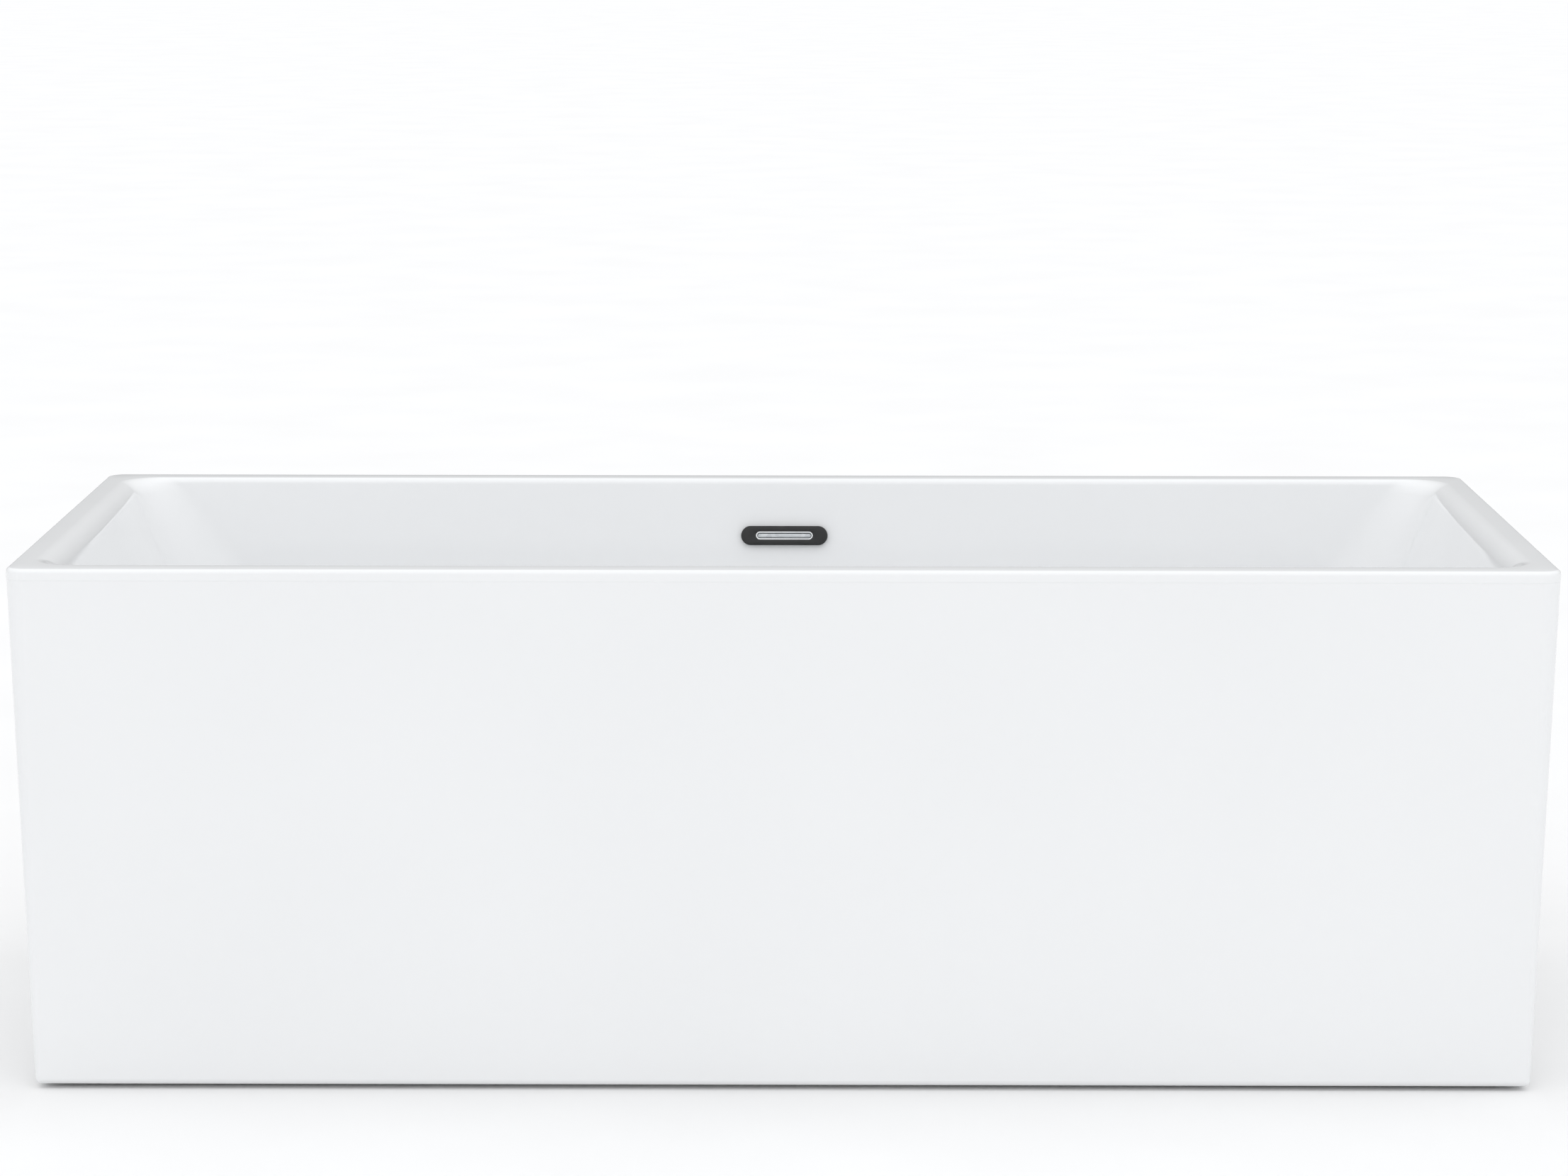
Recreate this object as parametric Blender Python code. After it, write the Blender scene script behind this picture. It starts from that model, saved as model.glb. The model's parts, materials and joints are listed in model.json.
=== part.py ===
"""Freestanding rectangular acrylic bathtub: basin, skirt, frame, screw feet, overflow and push waste.

Metres, +Z up. X runs along the tub, and +Y points to the long side that holds the overflow.
The origin is on the floor, under the middle of the tub.
"""

import math

import bmesh
import bpy
from mathutils import Matrix, Vector

# Overall size, and the clearance between pieces that touch.
LENGTH, WIDTH, HEIGHT = 1.700, 0.750, 0.590
SKIRT_LIFT = 0.005
GAP = 0.0003

# Acrylic shells.
SHELL = 0.004
RIM_EDGE_RADIUS = 0.005
RIM_LIP = 0.012
RIM_CORNER_RADIUS = 0.022
END_FLAT, SIDE_FLAT = 0.018, 0.025
END_FILLET, SIDE_FILLET = 0.028, 0.008
END_SLOPE, SIDE_SLOPE = math.radians(26), math.radians(8)
INNER_CORNER_TOP, INNER_CORNER_GROWTH = 0.045, 0.085
FLOOR = 0.165
FLOOR_FALL = 0.004
END_FLOOR_FILLET, SIDE_FLOOR_FILLET = 0.090, 0.070
SKIRT_TAPER = 0.0168
SKIRT_BOTTOM_RADIUS = 0.008
SKIRT_RETURN = 0.028
SKIRT_FLANGE, SKIRT_CHAMFER = 0.020, 0.0015
BOND = 0.0012

# Waste, in the floor.
DRAIN = Vector((0.0, 0.100, 0.0))
RECESS_RADIUS, RECESS_DEPTH = 0.0425, 0.004
DRAIN_HOLE = 0.0245
CAP_TRAVEL = 0.009
TEE_BORE, TEE_RADIUS = 0.0230, 0.0270
PORT_HEIGHT, PORT_END = 0.092, 0.155

# Overflow, in the back wall.
OVERFLOW_DROP = 0.070
COVER_HALF = (0.054, 0.012)
SLOT_HALF = (0.035, 0.0045)
WALL_SLOT_HALF = (0.046, 0.006)
OVERFLOW_SCREW_X = 0.041
SPIGOT_RADIUS, SPIGOT_BORE, SPIGOT_DEPTH = 0.0120, 0.0095, 0.0245
HOSE_BORE, HOSE_RADIUS = 0.0125, 0.0150

# Frame under the floor.
BOARD_HALF, BOARD_THICKNESS, BOARD_HOLE = (0.500, 0.190), 0.012, 0.048
TUBE, TUBE_WALL = 0.025, 0.0015
RAIL_HALF, RAIL_Y = 0.520, 0.165
CROSS_HALF, END_CROSS_X, MIDDLE_CROSS_X = 0.300, 0.470, -0.150
FRAME_SCREW_RADIUS = 0.0030
FOOT_Y, MIDDLE_FOOT_Y = 0.255, -0.080

# Screw feet.
STUD_RADIUS, STUD_TOP = 0.0059, 0.1060
PAD_RADIUS = 0.025
HEX_FLATS = 0.019

# Heights that follow from the sizes above.
DRAIN_LEVEL = FLOOR - FLOOR_FALL
RECESS_FLOOR = DRAIN_LEVEL - RECESS_DEPTH
BOARD_TOP = DRAIN_LEVEL - SHELL - GAP
RAIL_TOP = BOARD_TOP - BOARD_THICKNESS - GAP
CROSS_TOP = RAIL_TOP - TUBE - GAP
CROSS_BOTTOM = CROSS_TOP - TUBE
LIP_BOTTOM = HEIGHT - RIM_LIP

CORNER_STEPS = 4
ROUND_STEPS = 20


# ---------------------------------------------------------------- scene and materials

def clear_scene():
    for obj in list(bpy.data.objects):
        bpy.data.objects.remove(obj, do_unlink=True)


def material(name, colour, roughness, metallic=0.0):
    made = bpy.data.materials.get(name)
    if made is None:
        made = bpy.data.materials.new(name)
        made.use_nodes = True
        shader = made.node_tree.nodes["Principled BSDF"]
        shader.inputs["Base Color"].default_value = (*colour, 1.0)
        shader.inputs["Roughness"].default_value = roughness
        shader.inputs["Metallic"].default_value = metallic
    return made


def white_acrylic():
    return material("white_acrylic", (0.84, 0.85, 0.86), 0.08)


def chrome():
    return material("chrome", (0.78, 0.79, 0.80), 0.06, 1.0)


def zinc():
    return material("zinc_plated_steel", (0.62, 0.64, 0.66), 0.35, 1.0)


def rubber():
    return material("black_rubber", (0.02, 0.02, 0.02), 0.7)


def grey_plastic():
    return material("grey_plastic", (0.60, 0.61, 0.60), 0.45)


def white_plastic():
    return material("white_plastic", (0.80, 0.80, 0.79), 0.4)


def add_mesh(name, bm, finish, place=None):
    """Turns bm into the object called name, with smooth shading across shallow edges."""
    bmesh.ops.recalc_face_normals(bm, faces=bm.faces[:])
    mesh = bpy.data.meshes.new(name)
    bm.to_mesh(mesh)
    bm.free()
    mesh.shade_smooth()
    mesh.set_sharp_from_angle(angle=math.radians(35))
    mesh.materials.append(finish)
    obj = bpy.data.objects.new(name, mesh)
    bpy.context.scene.collection.objects.link(obj)
    if place is not None:
        obj.matrix_world = place
    return obj


def boolean(obj, other, operation):
    """Cuts other from obj, or joins it to obj, and keeps other out of the model."""
    modifier = obj.modifiers.new(other.name, "BOOLEAN")
    modifier.object = other
    modifier.operation = operation
    other.hide_render = True
    other.display_type = "WIRE"
    return obj


# ---------------------------------------------------------------- outlines and solids

def arc(centre_x, centre_y, radius, start, stop, steps):
    """Points of an arc, ends included, with its angles in degrees."""
    angles = [math.radians(start + (stop - start) * k / steps) for k in range(steps + 1)]
    return [(centre_x + radius * math.cos(t), centre_y + radius * math.sin(t)) for t in angles]


def rounded_rectangle(half_x, half_y, radius, shares_x=(), shares_y=()):
    """Anticlockwise outline. The shares place more points on the straight sides, from -1 to 1."""
    flat_x, flat_y = half_x - radius, half_y - radius
    points = [(half_x, share * flat_y) for share in shares_y]
    points += arc(flat_x, flat_y, radius, 0, 90, CORNER_STEPS)
    points += [(-share * flat_x, half_y) for share in shares_x]
    points += arc(-flat_x, flat_y, radius, 90, 180, CORNER_STEPS)
    points += [(-half_x, -share * flat_y) for share in shares_y]
    points += arc(-flat_x, -flat_y, radius, 180, 270, CORNER_STEPS)
    points += [(share * flat_x, -half_y) for share in shares_x]
    points += arc(flat_x, -flat_y, radius, 270, 360, CORNER_STEPS)
    return points


def stadium(half_x, half_y, steps=8):
    """Anticlockwise outline with round ends."""
    flat = half_x - half_y
    return arc(flat, 0, half_y, -90, 90, steps) + arc(-flat, 0, half_y, 90, 270, steps)


def hexagon(across_flats, turn=0.0):
    radius = across_flats / 2 / math.cos(math.pi / 6)
    return arc(0, 0, radius, turn, turn + 300, 5)


def circle(radius, steps=ROUND_STEPS):
    """The first point is half a step round, so that cutters miss the corners of what they cut."""
    half = 180 / steps
    return arc(0, 0, radius, half, 360 - half, steps - 1)


def at_height(outline, z):
    return [Vector((x, y, z)) for x, y in outline]


def skin(bm, loops, ring=False):
    """Faces between each loop of points and the next, and round to the first one for a ring."""
    rows = [[bm.verts.new(point) for point in loop] for loop in loops]
    pairs = list(zip(rows, rows[1:] + rows[:1])) if ring else list(zip(rows, rows[1:]))
    for low, high in pairs:
        for k in range(len(low)):
            after = (k + 1) % len(low)
            bm.faces.new((low[k], low[after], high[after], high[k]))
    return rows


def lofted(name, loops, finish, place=None):
    """Closed solid through a stack of loops, capped at both ends."""
    bm = bmesh.new()
    rows = skin(bm, loops)
    bm.faces.new(rows[0])
    bm.faces.new(rows[-1])
    return add_mesh(name, bm, finish, place)


def lofted_ring(name, loops, finish, place=None):
    """Closed ring whose cross-section's corners are the loops, in order."""
    bm = bmesh.new()
    skin(bm, loops, ring=True)
    return add_mesh(name, bm, finish, place)


def prism(name, outline, bottom, top, finish, place=None):
    return lofted(name, [at_height(outline, bottom), at_height(outline, top)], finish, place)


def turned_loops(profile, steps=ROUND_STEPS):
    """Circles about Z from (radius, height) points."""
    return [at_height(circle(radius, steps), z) for radius, z in profile]


def turned_ring(name, profile, finish, place=None):
    """Ring turned about Z from a closed section of (radius, height) points."""
    return lofted_ring(name, turned_loops(profile), finish, place)


def moved(x, y, z=0.0):
    return Matrix.Translation((x, y, z))


def along_x(x, y, z):
    """Places a solid that was made along Z so that it points along +X."""
    return moved(x, y, z) @ Matrix.Rotation(math.radians(90), 4, "Y")


def along_y(x, y, z):
    """Places a solid that was made along Z so that it points along +Y."""
    return moved(x, y, z) @ Matrix.Rotation(math.radians(-90), 4, "X")


# ---------------------------------------------------------------- basin

class WallProfile:
    """How far the basin's inner face stands in from the outer face, at each height."""

    def __init__(self, flat, fillet, slope, floor_fillet):
        self.start = RIM_EDGE_RADIUS + flat
        self.fillet, self.slope, self.floor_fillet = fillet, slope, floor_fillet
        self.wall_top = HEIGHT - fillet * (1 - math.sin(slope))
        self.wall_inset = self.start + fillet * math.cos(slope)
        self.wall_bottom = FLOOR + floor_fillet * (1 - math.sin(slope))
        run = (self.wall_top - self.wall_bottom) * math.tan(slope)
        self.floor_inset = self.wall_inset + run + floor_fillet * math.cos(slope)

    def inset(self, z):
        if z >= self.wall_top:
            cosine = max(-1.0, 1 - (HEIGHT - z) / self.fillet)
            return self.start + self.fillet * math.sqrt(1 - cosine * cosine)
        if z >= self.wall_bottom:
            return self.wall_inset + (self.wall_top - z) * math.tan(self.slope)
        sine = min(1.0, (FLOOR + self.floor_fillet - z) / self.floor_fillet)
        return self.floor_inset - self.floor_fillet * math.sqrt(1 - sine * sine)


END_WALL = WallProfile(END_FLAT, END_FILLET, END_SLOPE, END_FLOOR_FILLET)
SIDE_WALL = WallProfile(SIDE_FLAT, SIDE_FILLET, SIDE_SLOPE, SIDE_FLOOR_FILLET)


def side_shares(count):
    """Points on a straight side that crowd towards its middle, where the drain is."""
    return [math.copysign(abs(k / (count + 1)) ** 1.5, k) for k in range(-count, count + 1)]


def basin_outline(half_x, half_y, radius):
    return rounded_rectangle(half_x, half_y, radius, side_shares(3), side_shares(1))


def basin_level(z):
    depth = (HEIGHT - z) / (HEIGHT - FLOOR)
    radius = INNER_CORNER_TOP + INNER_CORNER_GROWTH * depth ** 0.6
    half_x = LENGTH / 2 - END_WALL.inset(z)
    half_y = WIDTH / 2 - SIDE_WALL.inset(z)
    return at_height(basin_outline(half_x, half_y, radius), z)


def wall_heights(rim_steps=5, wall_steps=2, floor_steps=4):
    """Heights of the basin's loops, close together where the wall curves."""
    rim_drop = HEIGHT - END_WALL.wall_top
    floor_rise = SIDE_WALL.wall_bottom - FLOOR
    low, high = FLOOR + floor_rise, HEIGHT - rim_drop
    heights = [HEIGHT - rim_drop * (1 - math.cos(math.pi / 2 * k / rim_steps))
               for k in range(rim_steps + 1)]
    heights += [high - (high - low) * k / wall_steps for k in range(1, wall_steps)]
    heights += [FLOOR + floor_rise * (1 - math.sin(math.pi / 2 * k / floor_steps))
                for k in range(floor_steps + 1)]
    return heights


def rim_loops(steps=2):
    """The lip that hangs from the rim, then the rounded outer edge up to the flat rim."""
    loops = [at_height(basin_outline(LENGTH / 2, WIDTH / 2, RIM_CORNER_RADIUS), LIP_BOTTOM)]
    for inset, rise in arc(RIM_EDGE_RADIUS, 0, RIM_EDGE_RADIUS, 180, 90, steps):
        outline = basin_outline(LENGTH / 2 - inset, WIDTH / 2 - inset, RIM_CORNER_RADIUS - inset)
        loops.append(at_height(outline, HEIGHT - RIM_EDGE_RADIUS + rise))
    return loops


def round_drain(loop, radius, z):
    """The points of loop moved straight towards the drain, onto a circle round it."""
    centre = Vector((DRAIN.x, DRAIN.y, z))
    rays = [(Vector((p.x, p.y, z)) - centre).normalized() for p in loop]
    return [centre + ray * radius for ray in rays]


def floor_loops(edge, shares=(0.3, 0.7, 1.0)):
    """The floor falls from its edge to the drain, then steps down into the recess."""
    mouth = round_drain(edge, RECESS_RADIUS, DRAIN_LEVEL)
    loops = []
    for share in shares:
        loop = [outer.lerp(inner, share) for outer, inner in zip(edge, mouth)]
        for point in loop:
            point.z = FLOOR - FLOOR_FALL * share ** 1.5
        loops.append(loop)
    loops.append(round_drain(edge, RECESS_RADIUS - RECESS_DEPTH, RECESS_FLOOR))
    loops.append(round_drain(edge, DRAIN_HOLE, RECESS_FLOOR))
    return loops


def make_basin():
    walls = [basin_level(z) for z in wall_heights()]
    bm = bmesh.new()
    skin(bm, rim_loops() + walls + floor_loops(walls[-1]))
    basin = add_mesh("basin_shell", bm, white_acrylic())
    thickness = basin.modifiers.new("thickness", "SOLIDIFY")
    thickness.thickness = SHELL
    thickness.offset = -1
    thickness.use_even_offset = True
    cutter = prism("overflow_hole", stadium(*WALL_SLOT_HALF), -0.03, 0.03,
                   white_acrylic(), overflow_frame())
    return boolean(basin, cutter, "DIFFERENCE")


# ---------------------------------------------------------------- skirt and bond

def taper(z):
    """How far the skirt's outer face stands in from the rim's, at a height."""
    return SKIRT_TAPER * (HEIGHT - z) / (HEIGHT - SKIRT_LIFT)


def skirt_section():
    """Closed section of the skirt as (inset, height): outer face, then inner face."""
    shelf = LIP_BOTTOM - BOND
    step = SHELL + 2 * GAP
    flange_top = HEIGHT - SHELL - GAP
    base = taper(SKIRT_LIFT)
    curl_outer = arc(base + SKIRT_BOTTOM_RADIUS, SKIRT_LIFT + SKIRT_BOTTOM_RADIUS,
                     SKIRT_BOTTOM_RADIUS, 180, 270, 3)
    curl_inner = arc(base + SKIRT_BOTTOM_RADIUS, SKIRT_LIFT + SKIRT_BOTTOM_RADIUS,
                     SKIRT_BOTTOM_RADIUS - SHELL, 270, 180, 3)
    top = [(step + SKIRT_FLANGE, flange_top - SHELL), (step + SKIRT_FLANGE, flange_top),
           (step + SKIRT_CHAMFER, flange_top), (step, flange_top - SKIRT_CHAMFER), (step, shelf),
           (taper(shelf), shelf)]
    bottom = [(base + SKIRT_RETURN, SKIRT_LIFT), (base + SKIRT_RETURN, SKIRT_LIFT + SHELL)]
    behind = [(taper(shelf - 0.010) + SHELL, shelf - 0.010), (step + SHELL, shelf - 0.004),
              (step + SHELL, flange_top - SHELL)]
    return top + curl_outer + bottom + curl_inner + behind


def swept_loops(section):
    loops = []
    for inset, z in section:
        radius = max(RIM_CORNER_RADIUS - inset, 0.003)
        outline = rounded_rectangle(LENGTH / 2 - inset, WIDTH / 2 - inset, radius)
        loops.append(at_height(outline, z))
    return loops


def make_skirt():
    lofted_ring("outer_skirt", swept_loops(skirt_section()), white_acrylic())
    low, high = LIP_BOTTOM - BOND + GAP, LIP_BOTTOM - GAP
    section = [(0.0002, low), (0.0002, high), (SHELL, high), (SHELL, low)]
    lofted_ring("rim_bond_bead", swept_loops(section), white_plastic())


# ---------------------------------------------------------------- board and frame

def drill(name, radius, bottom, top, x, y):
    return prism(name, circle(radius, 16), bottom, top, zinc(), moved(x, y))


def make_board():
    outline = rounded_rectangle(*BOARD_HALF, 0.030)
    wood = material("plywood", (0.52, 0.36, 0.21), 0.75)
    board = prism("base_board", outline, BOARD_TOP - BOARD_THICKNESS, BOARD_TOP, wood)
    hole = drill("board_waste_hole", BOARD_HOLE, BOARD_TOP - 0.05, BOARD_TOP + 0.05, DRAIN.x, DRAIN.y)
    boolean(board, hole, "DIFFERENCE")
    return board


def square_tube(name, half_length, place):
    """Square tube made along Z, with open ends."""
    outer = rounded_rectangle(TUBE / 2, TUBE / 2, 0.002)
    inner = rounded_rectangle(TUBE / 2 - TUBE_WALL, TUBE / 2 - TUBE_WALL, 0.0005)
    loops = [at_height(outer, -half_length), at_height(outer, half_length),
             at_height(inner, half_length), at_height(inner, -half_length)]
    return lofted_ring(name, loops, zinc(), place)


def make_frame():
    """Two rails, three cross tubes, and the screws that pin their crossings to the board."""
    rails = {side: square_tube("frame_rail_" + side, RAIL_HALF,
                               along_x(0, y, RAIL_TOP - TUBE / 2))
             for side, y in (("front", -RAIL_Y), ("back", RAIL_Y))}
    crosses = {side: square_tube("frame_cross_" + side, CROSS_HALF,
                                 along_y(x, 0, CROSS_TOP - TUBE / 2))
               for side, x in (("left", -END_CROSS_X), ("middle", MIDDLE_CROSS_X),
                               ("right", END_CROSS_X))}
    return rails, crosses


def make_frame_screws(rails, crosses, board):
    head_top, tip = CROSS_BOTTOM - GAP, BOARD_TOP - 0.0025
    profile = [(0.0050, head_top - 0.0035), (0.0065, head_top - 0.0020), (0.0065, head_top),
               (FRAME_SCREW_RADIUS, head_top), (FRAME_SCREW_RADIUS, tip - 0.004), (0.0005, tip)]
    for end, x in (("left", -END_CROSS_X), ("right", END_CROSS_X)):
        for side, y in (("front", -RAIL_Y), ("back", RAIL_Y)):
            name = f"frame_screw_{side}_{end}"
            lofted(name, turned_loops(profile, 12), zinc(), moved(x, y))
            hole = drill(name + "_hole", FRAME_SCREW_RADIUS + 0.0004,
                         CROSS_BOTTOM - 0.005, tip + 0.0005, x, y)
            for piece in (rails[side], crosses[end], board):
                boolean(piece, hole, "DIFFERENCE")


def make_skirt_brackets():
    """Bent plates from the cross tubes' ends to the skirt's inner face, which leans outwards."""
    plate, leg_height, inner_end = 0.0025, 0.045, 0.200
    bottom = CROSS_TOP + GAP
    top = bottom + leg_height
    foot_y, head_y = (WIDTH / 2 - taper(z) - SHELL - 2 * GAP for z in (bottom, top))
    outline = [(inner_end, bottom), (foot_y, bottom), (head_y, top), (head_y - plate, top),
               (foot_y - plate, bottom + plate), (inner_end, bottom + plate)]
    for end, x in (("left", -END_CROSS_X), ("right", END_CROSS_X)):
        for side, sign in (("front", -1), ("back", 1)):
            loops = [[Vector((x + dx, sign * y, z)) for y, z in outline]
                     for dx in (-0.011, 0.011)]
            lofted(f"skirt_bracket_{side}_{end}", loops, zinc())


# ---------------------------------------------------------------- screw feet

def make_foot(name, x, y, cross):
    """Pad on the floor, stud with its hexagon, lock nut, and the nut welded to the cross tube."""
    pad_finish = material("black_nylon", (0.03, 0.03, 0.03), 0.5)
    pad_top, socket_floor, socket = 0.0120, 0.0040, 0.0045
    profile = [(socket, socket_floor + 0.0001), (socket, pad_top), (0.0100, pad_top),
               (PAD_RADIUS - 0.002, 0.0060), (PAD_RADIUS, 0.0040), (PAD_RADIUS, 0.0005),
               (PAD_RADIUS - 0.0005, 0.0)]
    lofted(name + "_pad", turned_loops(profile), pad_finish, moved(x, y))

    hex_low, hex_high = pad_top + GAP, pad_top + 0.0085
    shaft = [(socket - GAP, socket_floor + 2 * GAP), (socket - GAP, hex_low + 0.0010),
             (STUD_RADIUS, hex_low + 0.0015), (STUD_RADIUS, STUD_TOP - 0.0010),
             (STUD_RADIUS - 0.0010, STUD_TOP)]
    stud = lofted(name + "_stud", turned_loops(shaft), zinc(), moved(x, y))
    collar = prism(name + "_stud_hexagon", hexagon(HEX_FLATS), hex_low, hex_high, zinc(), moved(x, y))
    boolean(stud, collar, "UNION")

    weld_nut_low = CROSS_BOTTOM - GAP - 0.010
    nuts = ((name + "_weld_nut", weld_nut_low, CROSS_BOTTOM - GAP),
            (name + "_lock_nut", weld_nut_low - GAP - 0.0065, weld_nut_low - GAP))
    for nut_name, low, high in nuts:
        nut = prism(nut_name, hexagon(HEX_FLATS, 15), low, high, zinc(), moved(x, y))
        bore = drill(nut_name + "_bore", STUD_RADIUS + GAP, low - 0.002, high + 0.002, x, y)
        boolean(nut, bore, "DIFFERENCE")
    passage = drill(name + "_passage", STUD_RADIUS + 0.0006,
                    CROSS_BOTTOM - 0.004, CROSS_BOTTOM + 0.006, x, y)
    boolean(cross, passage, "DIFFERENCE")


def make_feet(crosses):
    for end, x in (("left", -END_CROSS_X), ("right", END_CROSS_X)):
        for side, y in (("front", -FOOT_Y), ("back", FOOT_Y)):
            make_foot(f"foot_{side}_{end}", x, y, crosses[end])
    make_foot("foot_middle", MIDDLE_CROSS_X, MIDDLE_FOOT_Y, crosses["middle"])


# ---------------------------------------------------------------- waste and trap

def make_waste():
    here = Matrix.Translation(DRAIN)
    gasket, lower_gasket, flange_thickness = 0.0012, 0.0020, 0.0024
    gasket_low = RECESS_FLOOR + GAP
    flange_low = gasket_low + gasket + GAP
    flange_top = flange_low + flange_thickness
    tail_bottom = 0.120
    turned_ring("waste_top_gasket", [
        (0.0360, gasket_low), (0.0360, gasket_low + gasket), (0.0250, gasket_low + gasket),
        (0.0250, gasket_low)], rubber(), here)

    flange = turned_ring("waste_flange", [
        (0.0225, tail_bottom), (0.0225, flange_low), (0.0370, flange_low),
        (0.0370, flange_low + 0.0012), (0.0355, flange_top), (0.0235, flange_top),
        (0.0190, flange_top - 0.0042), (0.0190, tail_bottom)], chrome(), here)
    boss_low, boss_high = 0.138, 0.148
    for k, turn in enumerate((0, 90)):
        bar_place = here @ Matrix.Rotation(math.radians(turn), 4, "Z")
        bar = prism(f"waste_spider_bar_{k}", [(-0.0200, -0.0020), (0.0200, -0.0020),
                                              (0.0200, 0.0020), (-0.0200, 0.0020)],
                    boss_low + 0.002, boss_high - 0.002, chrome(), bar_place)
        boolean(flange, bar, "UNION")
    boss = prism("waste_spider_boss", circle(0.0100, 16), boss_low, boss_high, chrome(), here)
    boolean(flange, boss, "UNION")
    bore = prism("waste_spider_bore", circle(0.0065, 16), 0.130, 0.156, chrome(), here)
    boolean(flange, bore, "DIFFERENCE")

    shell_under = RECESS_FLOOR - SHELL
    gasket_top = shell_under - GAP
    turned_ring("waste_lower_gasket", [
        (0.0360, gasket_top - lower_gasket), (0.0360, gasket_top), (0.0240, gasket_top),
        (0.0240, gasket_top - lower_gasket)], rubber(), here)
    tee_top = gasket_top - lower_gasket - GAP
    make_tee(here, tee_top)
    make_plug(here, flange_top, boss_low, boss_high)


def make_tee(here, tee_top):
    """Waste body that screws onto the flange's tail, with a side port for the overflow hose."""
    tee_bottom = 0.068
    tee = prism("waste_tee", circle(TEE_RADIUS), tee_bottom, tee_top, grey_plastic(), here)
    plate = prism("waste_tee_plate", circle(0.036), tee_top - 0.003, tee_top, grey_plastic(), here)
    port = prism("waste_tee_port", circle(SPIGOT_RADIUS), 0.0, PORT_END - DRAIN.y, grey_plastic(),
                 along_y(DRAIN.x, DRAIN.y, PORT_HEIGHT))
    boolean(tee, plate, "UNION")
    boolean(tee, port, "UNION")
    bore = prism("waste_tee_bore", circle(TEE_BORE), 0.060, 0.160, grey_plastic(), here)
    port_bore = prism("waste_tee_port_bore", circle(SPIGOT_BORE), 0.002, PORT_END - DRAIN.y + 0.01,
                      grey_plastic(), along_y(DRAIN.x, DRAIN.y, PORT_HEIGHT))
    boolean(tee, bore, "DIFFERENCE")
    boolean(tee, port_bore, "DIFFERENCE")


def make_plug(here, flange_top, boss_low, boss_high):
    """The cap, its seal and the plunger move together. They stand open, CAP_TRAVEL up."""
    under = flange_top + 0.0004 + CAP_TRAVEL
    dome = [(0.0345 * math.cos(t), under + 0.0030 + 0.0030 * math.sin(t))
            for t in (math.radians(20 * k) for k in range(5))]
    cap = [(0.0335, under), (0.0345, under + 0.0010)] + dome
    lofted("waste_cap", turned_loops(cap, 24), chrome(), here)
    seal_top = under - GAP
    seal_bottom = seal_top - 0.0035
    turned_ring("waste_cap_seal", [(0.0193, seal_bottom), (0.0228, seal_top), (0.0064, seal_top),
                                   (0.0064, seal_bottom)], rubber(), here)
    plunger = [(0.0080, boss_low - 0.0055), (0.0085, boss_low - 0.0050), (0.0085, boss_low - 0.0005),
               (0.0060, boss_low - 0.0005), (0.0060, seal_top)]
    brass = material("brass", (0.72, 0.55, 0.26), 0.3, 1.0)
    lofted("waste_plunger", turned_loops(plunger), brass, here)
    make_spring(here, boss_high + GAP, seal_bottom - GAP)


def make_spring(here, bottom, top):
    """Compression spring round the plunger, from the spider up to the seal."""
    wire, radius, turns, per_turn = 0.0006, 0.0095, 4, 12
    rise = top - bottom - 2 * wire
    bm = bmesh.new()
    loops = []
    for k in range(turns * per_turn + 1):
        angle = 2 * math.pi * k / per_turn
        out = Vector((math.cos(angle), math.sin(angle), 0))
        centre = out * radius + Vector((0, 0, bottom + wire + rise * k / (turns * per_turn)))
        loops.append([centre + out * (wire * math.cos(t)) + Vector((0, 0, wire * math.sin(t)))
                      for t in (math.radians(72 * j) for j in range(5))])
    rows = skin(bm, loops)
    bm.faces.new(rows[0])
    bm.faces.new(rows[-1])
    add_mesh("waste_spring", bm, zinc(), here)


def make_trap():
    """Shallow drum trap, its washer, and the union nut that holds it to the waste body."""
    here = Matrix.Translation(DRAIN)
    neck_top, drum_top, drum_bottom = 0.0655, 0.046, 0.010
    outlet_height, outlet_radius, outlet_bore, outlet_end = 0.030, 0.0160, 0.0135, 0.110
    wall = 0.003
    body = [(0.0268, neck_top), (0.0268, 0.0595), (0.0232, 0.0595), (0.0232, drum_top),
            (0.0450, drum_top), (0.0450, drum_bottom + 0.004), (0.0410, drum_bottom)]
    cavity = [(0.0390, drum_bottom + wall), (0.0420, drum_bottom + wall + 0.003),
              (0.0420, drum_top - wall), (0.0200, drum_top - wall), (0.0200, neck_top + 0.01)]
    trap = lofted("trap_body", turned_loops(reversed(body)), grey_plastic(), here)
    outlet = prism("trap_outlet", circle(outlet_radius), 0.0200, outlet_end, grey_plastic(),
                   along_x(0, DRAIN.y, outlet_height))
    boolean(trap, outlet, "UNION")
    hollow = lofted("trap_cavity", turned_loops(cavity), grey_plastic(), here)
    boolean(trap, hollow, "DIFFERENCE")
    outlet_hole = prism("trap_outlet_bore", circle(outlet_bore), 0.0250, outlet_end + 0.01,
                        grey_plastic(), along_x(0, DRAIN.y, outlet_height))
    boolean(trap, outlet_hole, "DIFFERENCE")
    washer_low, washer_high = neck_top + GAP, neck_top + 0.0022
    turned_ring("trap_washer", [(0.0268, washer_low), (0.0268, washer_high), (0.0232, washer_high),
                                (0.0232, washer_low)], rubber(), here)
    turned_ring("trap_union_nut", [
        (0.0330, 0.0500), (0.0330, 0.0800), (0.0275, 0.0800), (0.0275, 0.0590), (0.0240, 0.0590),
        (0.0240, 0.0500)], grey_plastic(), here)


# ---------------------------------------------------------------- overflow

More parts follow.
